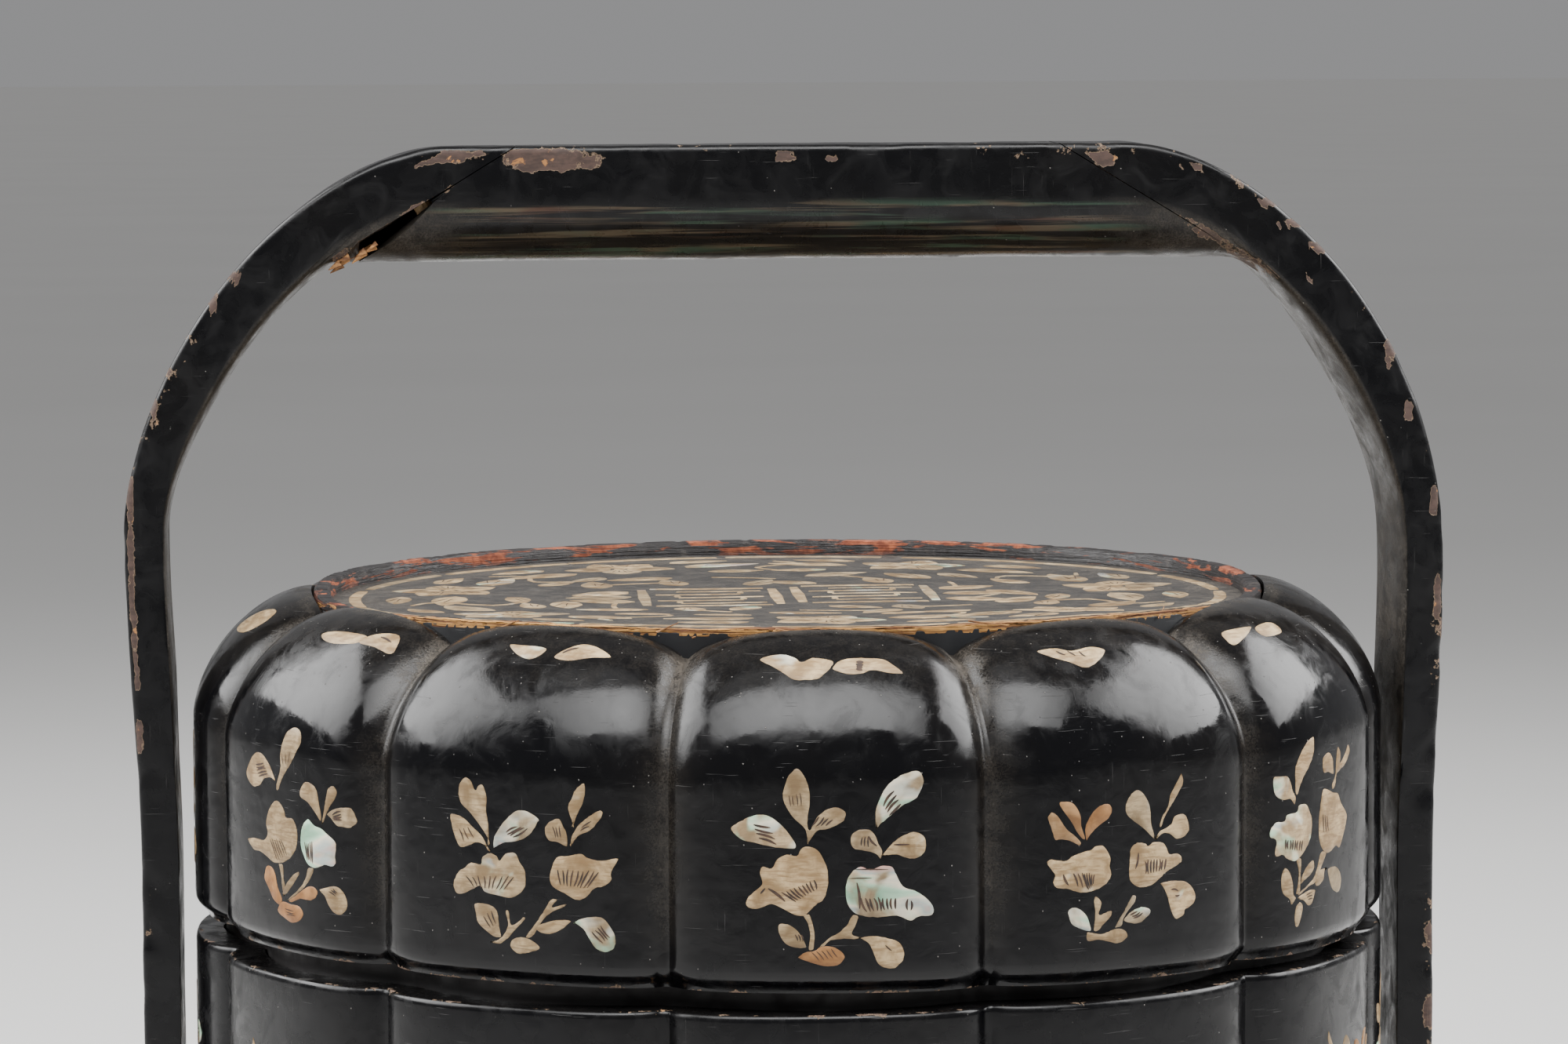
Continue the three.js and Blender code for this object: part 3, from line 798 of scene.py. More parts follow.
for body, foot in tray_feet.items():
    rows = [outer_row(2 * MM * down, foot + 4 * MM * drawn, 0.72 - 0.1 * k)
            for k, (drawn, down) in enumerate(quarter(6))]
    rows += [outer_row(0.0, foot + z) for z in between(6 * MM, 48 * MM, 14)]
    rows += [outer_row(0.9 * MM * drawn, foot + tray_height - 1.5 * MM * down, 0.32 + 0.04 * k)
             for k, (drawn, down) in enumerate(quarter(8))]
    rows.append(outer_row(1.8 * MM, foot + tray_height, 0.5))
    rows.append(outer_row(3.4 * MM, foot + tray_height, 0.1))
    rows += [inner_row(0.0, foot + z) for z in between(tray_height, 0.0, 6)]
    rows.append(outer_row(4.4 * MM, foot, 0.6))
    finish_piece(lobed_ring(body + "_ring", rows), body, tray_lacquer, body + "_wall")

    low, high = foot + floor_rise, foot + floor_rise + floor_thickness
    rows = [inner_row(glue_gap, low), inner_row(glue_gap, (low + high) / 2),
            inner_row(glue_gap, high, 0.0, 0.4), inner_row(5 * MM, high)]
    finish_piece(lobed_disc(body + "_bottom", rows, low, high), body, inner_lacquer,
                 body + "_floor")

    top = foot + tray_height + neck_rise
    rows = [inner_row(glue_gap, foot + 44 * MM), inner_row(glue_gap, foot + 53 * MM),
            inner_row(0.6 * MM, foot + tray_height)]
    rows += [inner_row(0.6 * MM, z) for z in between(foot + 56 * MM, top - 1 * MM, 3)]
    rows += [inner_row(0.9 * MM, top - 0.3 * MM, 0.5), inner_row(1.6 * MM, top, 0.62),
             inner_row(3.2 * MM, top, 0.62), inner_row(4 * MM, top - 0.8 * MM, 0.5),
             inner_row(4 * MM, foot + 50 * MM), inner_row(4 * MM, foot + 44 * MM)]
    finish_piece(lobed_ring(body + "_inner_ring", rows), body, neck_lacquer, body + "_neck")

# ---------------------------------------------------------------- lid
# Domed shell: the wall swells up over a round shoulder to the land that holds the plate.
# Its foot is warped, so it stands off the tray at the left and front. Dust lies in the grooves.

lid_foot = 192.1 * MM
wall_rise, groove_rise = 44.2 * MM, 41.2 * MM
crest_top = (105 * MM, 71.4 * MM)
groove_top = (101 * MM, 63.6 * MM)
shoulder_power = 1.7
lid_ripple, foot_warp, warp_turn = 0.32 * MM, 1.7 * MM, math.radians(-140)


def shoulder_at(share):
    """Crest and groove of the lid at a share of the way over the shoulder."""
    across, up = arch(share, shoulder_power)
    return (crest_top[0] + (crest_radius - crest_top[0]) * across,
            wall_rise + (crest_top[1] - wall_rise) * up,
            groove_top[0] + (groove_radius - groove_top[0]) * across,
            groove_rise + (groove_top[1] - groove_rise) * up)


shoulder_steps = 200
over = lengths_along([shoulder_at(k / shoulder_steps) for k in range(shoulder_steps + 1)])
lid_length = wall_rise + over[-1]


def lid_station(length):
    """Crest and groove of the lid at a length up its outer face from the bottom edge."""
    if length <= wall_rise:
        inset = 2.8 * MM * (1 - smooth(length / (5 * MM))) ** 1.5
        return (crest_radius - inset, length, groove_radius - inset,
                length * groove_rise / wall_rise)
    low, share = found_in(over, length - wall_rise)
    return shoulder_at((low + share) / shoulder_steps)


def foot_lift(point, height):
    """How far the warp has lifted the lid, fading out a little way up."""
    lift = foot_warp * math.cos(math.atan2(point.y, point.x) - warp_turn)
    return lift * (1 - smooth(height / (16 * MM)))


def lid_point(lobe, share, length):
    crest, crest_z, groove, groove_z = lid_station(length)
    point = lobed_point(lobe, share, crest, groove, lobe_power, crest_z, groove_z, lid_ripple)
    point.z += lid_foot + foot_lift(point, length)
    return point


outside = between(0.0, 5 * MM, 6) + between(5 * MM, wall_rise, 18)[1:] \
    + between(wall_rise, lid_length, 40)[1:]
# Crest, its height, groove and its height, in millimetres: the land, the seat of the plate, and
# then the hollow from its middle down to the foot
inside = [(104.3, 71.3, 100.8, 63.5), (104.15, 70.6, 100.6, 63.4), (104.1, 64.0, 100.0, 63.3),
          (90, 63.9, 90, 63.3), (45, 63.9, 45, 63.3), (0, 63.9, 0, 63.9), (0, 58.5, 0, 58.5),
          (50, 58.5, 50, 58.5)]
for k in range(11):
    crest, crest_z, _, _ = shoulder_at(1 - k / 10)
    out = (crest - crest_top[0]) / (crest_radius - crest_top[0])
    up = (crest_z - wall_rise) / (crest_top[1] - wall_rise)
    inside.append((98 + 26.4 * out, 44.2 + 14.3 * up, 95 + 21.4 * out, 41.2 + 17.3 * up))
inside += [(124.4, z, 116.4, z) for z in (30, 20, 10, 4, 1, 0.2)] + [(125.4, 0.0, 117.4, 0.0)]
hollow_top = 59
lid_rows = len(outside) + len(inside)


def lid_place(i, j):
    row = j % lid_rows
    if row < len(outside):
        length = outside[row]
        lobe, share = lobe_share(i, lobe_power)
        up = length / lid_length
        dust_and_sheen = abs(share) ** 13 * smooth((up - 0.66) / 0.26) \
            + 0.3 * abs(share) ** 16 * smooth(up * 3)
        dust_and_sheen = max(dust_and_sheen, 0.42 * smooth((up - 0.93) / 0.06))
        dust_and_sheen *= 1 - 0.9 * smooth((up - 0.972) / 0.02) * smooth(abs(share) * 4 - 2.4)
        wear = 0.66 * (1 - smooth(length / (2.2 * MM)))
        return lid_point(lobe, share, length), (wear, min(dust_and_sheen, 1.0))
    crest, crest_z, groove, groove_z = (size * MM for size in inside[row - len(outside)])
    open_to_air = crest_z > hollow_top * MM
    power = lobe_power if open_to_air else inner_power
    lobe, share = lobe_share(i, power)
    point = lobed_point(lobe, share, crest, groove, power, crest_z, groove_z)
    point.z += lid_foot + foot_lift(point, crest_z)
    return point, (0.2, 0.1 if open_to_air else 0.0)


lid_shell = rolled("lid_dome", lobe_columns, lid_rows, lid_place)
finish_piece(lid_shell, "lid", black_lacquer, "lid_shell", angle=50)

rows = [inner_row(glue_gap, lid_foot + z) for z in between(5.3 * MM, 13.3 * MM, 3)]
rows += [inner_row(5.5 * MM, lid_foot + 13.3 * MM), inner_row(5.5 * MM, lid_foot + 5.3 * MM)]
finish_piece(lobed_ring("lid_ledge", rows), "lid", inner_lacquer, "lid_seat_ring")

# ---------------------------------------------------------------- plate and rim
# A flat inlaid disc let into the top, and a ring round it, worn to red ground and bare
# fibrous wood. The front of the ring has broken away almost flush with the field.

plate_radius, plate_foot, plate_top = 104 * MM, lid_foot + 64.15 * MM, lid_foot + 68.65 * MM
plate_spring, field_ripple = 2.3 * MM, 0.35 * MM
rim_width, rim_columns, rim_bands = 4.2 * MM, 1440, 14
plate_columns, under_rows, edge_rows = 360, 3, 4
plate_profile = [(0.0, plate_foot), (60 * MM, plate_foot), (103.2 * MM, plate_foot),
                 (103.8 * MM, plate_foot + 0.6 * MM), (103.9 * MM, plate_foot + 2.2 * MM),
                 (103.8 * MM, plate_top - 0.5 * MM), (103.3 * MM, plate_top)]
plate_profile += [(r * MM, plate_top) for r in (99, 92, 84, 75, 65, 55, 45, 35, 25, 15, 7, 0)]


def lifted(y):
    """The disc has sprung up along the front."""
    return plate_spring * smooth((-y - 15 * MM) / (75 * MM))


def field_z(x, y):
    """The field has sunk and swollen a little."""
    near = smooth((plate_radius - math.hypot(x, y)) / (25 * MM))
    swell = field_ripple * (noise.noise(Vector((x, y, 0)) / 0.045) - 0.6)
    return plate_top + near * swell + lifted(y)


def plate_place(i, j):
    radius, z = plate_profile[j]
    angle = 2 * math.pi * i / plate_columns
    x, y = radius * math.cos(angle), radius * math.sin(angle)
    if j >= under_rows + edge_rows:
        dust_and_sheen = 0.6 + 0.3 * smooth((radius - 80 * MM) / (20 * MM))
        return Vector((x, y, field_z(x, y))), (0.0, dust_and_sheen)
    return Vector((x, y, z + (lifted(y) if j > under_rows else 0.0))), \
        (0.25 if j >= under_rows else 0.0, 0.0)


plate_lacquer = lacquer("plate_lacquer", specks=0.12, gloss=0.42, black=(0.012, 0.0125, 0.014),
                        up_dust=0.3)
plate = rolled("plate", plate_columns, len(plate_profile) - 1, plate_place)
finish_piece(plate, "lid", plate_lacquer, "lid_plate")


def round_noise(angle, scale, level):
    return noise.noise(Vector((math.cos(angle) * scale, math.sin(angle) * scale, level)))


def rim_height(angle):
    """Full at the back, ragged and almost gone at the front."""
    back = smooth((math.sin(angle) + 0.62) / 0.9)
    height = 0.75 + 2.6 * back - 0.3 * max(round_noise(angle, 45, 135), 0.0) \
        - (0.35 + 0.3 * (1 - back)) * max(round_noise(angle, 7, 0), 0.0)
    return max(height, 0.35) * MM


def rim_place(i, j):
    angle = 2 * math.pi * (i % rim_columns) / rim_columns
    height = rim_height(angle)
    front = 1 - smooth((math.sin(angle) + 0.75) / 0.7)
    base = plate_top + 0.05 * MM + lifted(plate_radius * math.sin(angle))
    fray = 0.6 * (round_noise(angle, 30, j * 1.7) + round_noise(angle, 95, j * 1.7))
    outside = plate_radius - glue_gap
    hang = -(2.4 + 1.2 * max(round_noise(angle, 9, 5), 0.0) + 0.5 * fray) * MM * front
    bite = max(fray, 0.0) * 0.9 * MM * front
    inner = plate_radius - rim_width + front * 1.4 * MM
    profile = [(outside - 0.9 * MM, hang), (outside - 0.2 * MM, hang * 0.8),
               (outside - bite, hang * 0.4), (outside - bite * 0.7, 0.0),
               (outside - bite, height * 0.3), (outside - bite * 0.5, height * 0.6),
               (outside - 0.2 * MM - bite, height * 0.85), (outside - 0.7 * MM, height),
               (outside - 1.5 * MM, height * 0.98), (inner + 1.0 * MM, height * 0.94),
               (inner + 0.4 * MM, height * 0.7), (inner + 0.1 * MM, height * 0.35),
               (inner, -0.1 * MM), (inner + 0.4 * MM, -0.5 * MM)]
    band = j % rim_bands
    radius, up = profile[band]
    bare = (1.0 if band <= 6 else 0.45 if band <= 8 else 0.0) * (0.35 + 0.65 * front)
    inward = 1.0 if 8 <= band <= 11 else 0.0
    return Vector((radius * math.cos(angle), radius * math.sin(angle), base + up)), (bare, inward)


worn_rim, tree = new_material("worn_rim", (0.25, 0.1, 0.04))
place = coordinates(tree)
straws = noise_of(tree, place, (60, 60, 2600), 4, 0.6)
cross_grain = noise_of(tree, place, 420, 4, 0.6, 0.6)
patch = noise_of(tree, place, (55, 55, 420), 4, 0.62, 0.7)
bare = attribute(tree, "bare")
inward = attribute(tree, "inward")
wood = blend(tree, step(tree, straws, 0.36, 0.66), (0.09, 0.032, 0.012), (0.50, 0.26, 0.075))
wood = blend(tree, step(tree, cross_grain, 0.55, 0.75), wood, (0.10, 0.04, 0.018))
red = blend(tree, step(tree, cross_grain, 0.35, 0.7), (0.13, 0.032, 0.015), (0.33, 0.095, 0.04))
black = blend(tree, step(tree, cross_grain, 0.5, 0.8), (0.012, 0.010, 0.010), (0.06, 0.05, 0.045))
red_share = times(tree, step(tree, patch, 0.525, 0.57),
                 calc(tree, "MAXIMUM", inward, 0.45))
colour = blend(tree, red_share, black, red)
bare_share = step(tree, plus(tree, patch, (bare, 0.42)), 0.74, 0.80)
colour = blend(tree, bare_share, colour, wood)
high = plus(tree, times(tree, straws, 0.8), (bare_share, -0.5))
surface(tree, colour, mixed(tree, calc(tree, "MAXIMUM", bare_share, red_share), 0.35, 0.85), high,
        0.0006, IOR=1.4)
rim = rolled("plate_ring", rim_columns, rim_bands, rim_place, ("bare", "inward"))
finish_piece(rim, "lid", worn_rim, "lid_plate_rim", angle=30)

slivers = []
for degrees in (-141, -128, -117, -109, -104, -92, -83, -71, -58, -44):
    angle = math.radians(degrees + random.uniform(-2, 2))
    out = plate_radius - random.uniform(-0.2, 0.8) * MM
    spot = Vector((out * math.cos(angle), out * math.sin(angle),
                   plate_top + lifted(out * math.sin(angle)) + random.uniform(-0.6, 0.7) * MM))
    slivers.append(sliver(spot, (0, math.pi / 2 + random.uniform(-0.5, 0.2),
                                 angle + math.pi / 2 + random.uniform(-0.5, 0.5)),
                          random.uniform(0.15, 0.35) * MM, random.uniform(4, 9) * MM))
fibres = joined("rim_fibres", slivers)
finish_piece(fibres, "lid", bare_wood)

# ---------------------------------------------------------------- shell inlay
# Slips of mother-of-pearl sawn to flowers, leaves and butterflies, let into the lacquer and
# engraved. Sprigs are drawn as they are seen in zooms of the photograph and laid on the lobes.

shell, tree = new_material("shell", (0.55, 0.45, 0.3))
place = coordinates(tree)
tone = node(tree, "SeparateColor", {"Color": attribute(tree, "tone", "Color")}).outputs
gap_shade = attribute(tree, "edge")
lines = noise_of(tree, place, (260, 260, 1500), 3, 0.6, 0.4)
cloudy = noise_of(tree, place, 170, 4, 0.6, 0.5)
mottle = noise_of(tree, place, 900, 3, 0.6)
cream = blend(tree, step(tree, cloudy, 0.3, 0.72), (0.19, 0.125, 0.062), (0.46, 0.34, 0.19))
cream = blend(tree, step(tree, lines, 0.42, 0.66, 0.0, 0.75), cream, (0.17, 0.105, 0.05))
grey = blend(tree, step(tree, cloudy, 0.35, 0.7), (0.16, 0.125, 0.08), (0.36, 0.295, 0.195))
amber = blend(tree, step(tree, cloudy, 0.3, 0.7), (0.17, 0.075, 0.028), (0.38, 0.19, 0.075))
colour = blend(tree, step(tree, tone[0], 0.0, 0.5, 1.0, 0.0), cream, grey)
colour = blend(tree, step(tree, tone[0], 0.55, 1.0), colour, amber)
flash = node(tree, "ValToRGB")
ramp = flash.color_ramp
ramp.elements[0].position, ramp.elements[0].color = 0.30, (0.16, 0.36, 0.25, 1)
ramp.elements[1].position, ramp.elements[1].color = 0.72, (0.50, 0.25, 0.22, 1)
for spot, shade in ((0.42, (0.36, 0.58, 0.43, 1)), (0.50, (0.68, 0.63, 0.50, 1)),
                    (0.60, (0.30, 0.38, 0.38, 1))):
    ramp.elements.new(spot).color = shade
connect(tree, flash.inputs[0], noise_of(tree, place, (70, 70, 190), 2, 0.5, 0.6))
pearl_field = plus(tree, noise_of(tree, place, 95, 3, 0.5, 0.5), (tone[1], 0.25))
pearl_share = step(tree, pearl_field, 0.66, 0.78)
colour = blend(tree, times(tree, pearl_share, 0.72), colour, flash.outputs[0])
colour = blend(tree, step(tree, mottle, 0.66, 0.78, 0.0, 0.55), colour, (0.20, 0.13, 0.075))
# Third tone channel scales brightness: real tone from slip to slip, painted highlight on the
# butterflies.
toned_and_highlighted = node(tree, "HueSaturation", {"Color": colour,
                                   "Value": step(tree, tone[2], 0.0, 1.0, 0.55, 1.3)})
# Painted shadow of the gap round each slip: its rim darkens to near black.
colour = blend(tree, step(tree, gap_shade, 0.25, 0.85, 0.0, 0.9), toned_and_highlighted.outputs[0],
               (0.035, 0.018, 0.010))
rough = mixed(tree, pearl_share, 0.42, 0.24)
high = plus(tree, times(tree, lines, 0.5), (mottle, -0.3))
surface(tree, colour, rough, high, 0.00012, IOR=1.32)

engraved, tree = new_material("engraved_line", (0.03, 0.015, 0.01))
depth = noise_of(tree, coordinates(tree), 700, 3)
surface(tree, blend(tree, step(tree, depth, 0.3, 0.7), (0.012, 0.006, 0.004), (0.06, 0.03, 0.016)),
        0.7, depth, 0.0001)

slip_lift, slip_sink, slip_edge, stroke_lift = 0.10 * MM, 0.10 * MM, 0.34 * MM, 0.15 * MM
saw_depth, saw_size = 0.10 * MM, 0.7 * MM


def rounded(points, steps=4):
    """Closed smooth outline through points."""
    count, line = len(points), []
    for k in range(count):
        a, b, c, d = (points[(k + m - 1) % count] for m in range(4))
        for s in range(steps):
            t = s / steps
            line.append(0.5 * (2 * b + (c - a) * t + (2 * a - 5 * b + 4 * c - d) * t * t
                               + (3 * b - a - 3 * c + d) * t ** 3))
    return line


def slip_sheet(name, slips, strokes, put, body, grid=2.2 * MM):
    """Lays flat outlines on a surface. A slip: (outline, tone); a stroke: (start, end, width)."""
    work = bmesh.new()
    tone = work.verts.layers.float_color.new("tone")
    # edge marks each slip's rim, which the shell material darkens as painted shadow of the gap.
    edge_mark = work.verts.layers.float.new("edge")
    faces = []
    for outline, mark in slips:
        corners = []
        for p in outline:
            saw = saw_depth * noise.noise(Vector((p.x, p.y, 0.02 * len(faces))) / saw_size)
            corners.append(work.verts.new((p.x + saw, p.y - saw, 0)))
        face = work.faces.new(corners)
        face.normal_update()
        if face.normal.z < 0:
            face.normal_flip()
        for corner in corners:
            corner[tone] = (*mark, random.random())
            corner[edge_mark] = 1.0
        faces.append(face)
    bmesh.ops.inset_individual(work, faces=faces, thickness=slip_edge, depth=0.0,
                               use_even_offset=False)
    for face in faces:
        for corner in face.verts:
            corner[edge_mark] = 0.0
    for axis in (0, 1):
        low = min(v.co[axis] for v in work.verts)
        high = max(v.co[axis] for v in work.verts)
        cut = Vector((0, 0, 0))
        facing = Vector((1 - axis, axis, 0))
        at = low + grid
        while at < high:
            cut[axis] = at
            bmesh.ops.bisect_plane(work, geom=work.verts[:] + work.edges[:] + work.faces[:],
                                   dist=0.0000002, plane_co=cut, plane_no=facing)
            at += grid
    for corner in work.verts:
        share = corner[edge_mark]
        flat = Vector((corner.co.x, corner.co.y))
        corner.co = put(flat, slip_lift * (1 - share) - slip_sink * share)
    for face in work.faces:
        face.smooth = True
    for start, end, width in strokes:
        along = end - start
        side = Vector((-along.y, along.x)).normalized() * width / 2
        bow = side * random.uniform(-1.2, 1.2)
        rows = []
        for k in range(6):
            share = k / 5
            fat = math.sin(math.pi * min(max(share * 0.9 + 0.06, 0), 1)) ** 0.6
            centre = start + along * share + bow * math.sin(math.pi * share)
            rows.append([work.verts.new(put(centre + side * fat * hand, stroke_lift))
                         for hand in (-1, 1)])
        for a, b in zip(rows, rows[1:]):
            face = work.faces.new((a[0], b[0], b[1], a[1]))
            face.material_index = 1
    work.normal_update()
    mesh = bpy.data.meshes.new(name)
    work.to_mesh(mesh)
    work.free()
    made = bpy.data.objects.new(name, mesh)
    bpy.context.collection.objects.link(made)
    made.data.materials.append(shell)
    made.data.materials.append(engraved)
    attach(made, body)


small_share, small_length = 0.01, 0.3 * MM
lobe_reach = 0.94
stroke_width = 1.9 * MM


def on_lobe(lobe, pixel, length):
    """Share across a lobe and length up it of the spot that is seen at a pixel."""
    share, goal = 0.0, Vector(pixel)
    for _ in range(9):
        here = seen_at(lid_point(lobe, share, length))
        by_share = (seen_at(lid_point(lobe, share + small_share, length)) - here) / small_share
        by_length = (seen_at(lid_point(lobe, share, length + small_length)) - here) / small_length
        miss = goal - here
        size = by_share.x * by_length.y - by_length.x * by_share.y
        if abs(size) < 1:
            break
        share += (miss.x * by_length.y - by_length.x * miss.y) / size
        length += (by_share.x * miss.y - miss.x * by_share.y) / size
        share = min(max(share, -lobe_reach), lobe_reach)
        length = min(max(length, 1.2 * MM), lid_length - 2 * MM)
    return Vector((share * half_lobe, length))


def read_sprig(lobe, corner, scale, height, slips, fans):
    """Turns a drawing, in pixels of a zoom whose corner and scale are given, into places on a
    lobe. A slip: (tone, points); a fan of lines: (first line, last line, count, width)."""
    def laid(x, y):
        return on_lobe(lobe, (corner[0] + x / scale, corner[1] + y / scale), height)

    outlines = [(rounded([laid(*p) for p in points]), tone) for tone, points in slips]
    lines = []
    for first, last, count, width in fans:
        for k in range(count):
            share = k / max(count - 1, 1)
            a, b, c, d = (p + (q - p) * share for p, q in zip(first, last))
            start, end = laid(a, b), laid(c, d)
            trim = (end - start) * random.uniform(0, 0.12)
            lines.append((start + trim, end - trim * 0.6, width * stroke_width))
    return outlines, lines


def one(line, width):
    """A fan of a single line."""
    return line, line, 1, width


# Sprigs and butterflies by lobe. A tone: (0 grey, 0.5 cream, 1 amber), pearly flash, brightness
sprigs, wings = {}, {}
sprigs[9] = read_sprig(9, (900, 940), 4.752, 22 * MM, [
    ((0.35, 0.0, 0.45), [(615, 650), (600, 560), (520, 480), (465, 370), (490, 250), (550, 185),
        (600, 230), (630, 310), (635, 400), (622, 500), (630, 560), (660, 500), (720, 440),
        (790, 420), (850, 450), (845, 500), (810, 530), (740, 560), (680, 570), (640, 620)]),
    ((0.3, 1.0, 0.8), [(150, 550), (220, 500), (290, 470), (370, 468), (440, 510), (500, 570),
        (550, 650), (530, 678), (420, 670), (300, 645), (210, 620)]),
    ((0.62, 0.0, 0.62), [(620, 657), (680, 680), (720, 740), (745, 810), (745, 900), (720, 980),
        (670, 1020), (630, 1060), (600, 1085), (540, 1080), (460, 1040), (400, 1015), (330, 1040),
        (270, 1040), (240, 1010), (260, 960), (320, 910), (340, 880), (325, 820), (345, 780),
        (400, 790), (430, 740), (490, 705), (550, 715), (580, 670)]),
    ((0.4, 0.0, 0.45), [(590, 1080), (630, 1070), (650, 1120), (665, 1200), (655, 1285),
        (620, 1285), (630, 1200), (615, 1130)]),
    ((0.35, 0.0, 0.42), [(440, 1135), (500, 1130), (560, 1170), (600, 1230), (610, 1275),
        (560, 1280), (490, 1260), (445, 1200)]),
    ((0.95, 0.0, 0.4), [(560, 1330), (600, 1300), (660, 1290), (700, 1265), (770, 1265),
        (830, 1300), (845, 1340), (800, 1385), (720, 1390), (640, 1370), (570, 1345)]),
    ((0.4, 0.0, 0.4), [(690, 1268), (745, 1215), (800, 1185), (850, 1140), (890, 1075),
        (930, 1085), (915, 1135), (890, 1190), (945, 1210), (910, 1225), (840, 1225), (760, 1235),
        (720, 1268)]),
    ((0.45, 0.35, 0.62), [(935, 1215), (1010, 1200), (1090, 1210), (1170, 1235), (1205, 1290),
        (1200, 1350), (1150, 1400), (1090, 1400), (1040, 1370), (1010, 1300), (985, 1250)]),
    ((0.2, 0.75, 0.6), [(1035, 560), (1025, 480), (1040, 400), (1090, 300), (1160, 240),
        (1240, 205), (1300, 205), (1325, 260), (1310, 320), (1270, 380), (1190, 420), (1110, 490),
        (1060, 530)]),
    ((0.3, 0.0, 0.45), [(880, 590), (920, 560), (990, 555), (1030, 590), (1050, 640), (1075, 690),
        (1060, 740), (1030, 710), (960, 690), (900, 680), (875, 640)]),
    ((0.5, 0.15, 0.5), [(1065, 715), (1120, 650), (1180, 600), (1260, 570), (1320, 590),
        (1340, 640), (1330, 700), (1280, 735), (1220, 735), (1160, 715), (1100, 718)]),
    ((0.2, 0.8, 0.55), [(850, 880), (880, 820), (940, 780), (1000, 800), (1060, 775), (1130, 780),
        (1160, 830), (1200, 900), (1270, 925), (1340, 970), (1385, 1030), (1370, 1080),
        (1290, 1090), (1240, 1115), (1160, 1085), (1040, 1095), (950, 1085), (890, 1060),
        (850, 990)]),
], [
    ((455, 935, 550, 998), (655, 860, 675, 925), 9, 0.22), one((365, 905, 490, 1000), 0.32),
    one((365, 910, 330, 950), 0.2), one((915, 868, 935, 1045), 0.3),
    ((940, 970, 978, 1060), (1150, 965, 1150, 1045), 9, 0.26),
    ((1225, 970, 1222, 1052), (1245, 985, 1243, 1050), 2, 0.26),
    ((280, 527, 400, 548), (318, 608, 432, 650), 4, 0.26),
    ((505, 350, 515, 420), (570, 330, 580, 420), 4, 0.12),
    ((690, 475, 640, 540), (775, 495, 725, 538), 4, 0.2),
    ((1145, 320, 1075, 420), (1185, 400, 1110, 475), 4, 0.28),
    ((950, 600, 942, 660), (985, 600, 985, 665), 3, 0.16), one((985, 595, 1040, 660), 0.25),
    one((1130, 650, 1240, 648), 0.2), ((540, 1190, 560, 1235), (580, 1190, 590, 1240), 3, 0.16),
    ((640, 1300, 690, 1355), (760, 1280, 800, 1335), 5, 0.12), one((1085, 1255, 1130, 1295), 0.16),
    ((860, 855, 1010, 852), (900, 800, 1110, 800), 2, 0.12)])

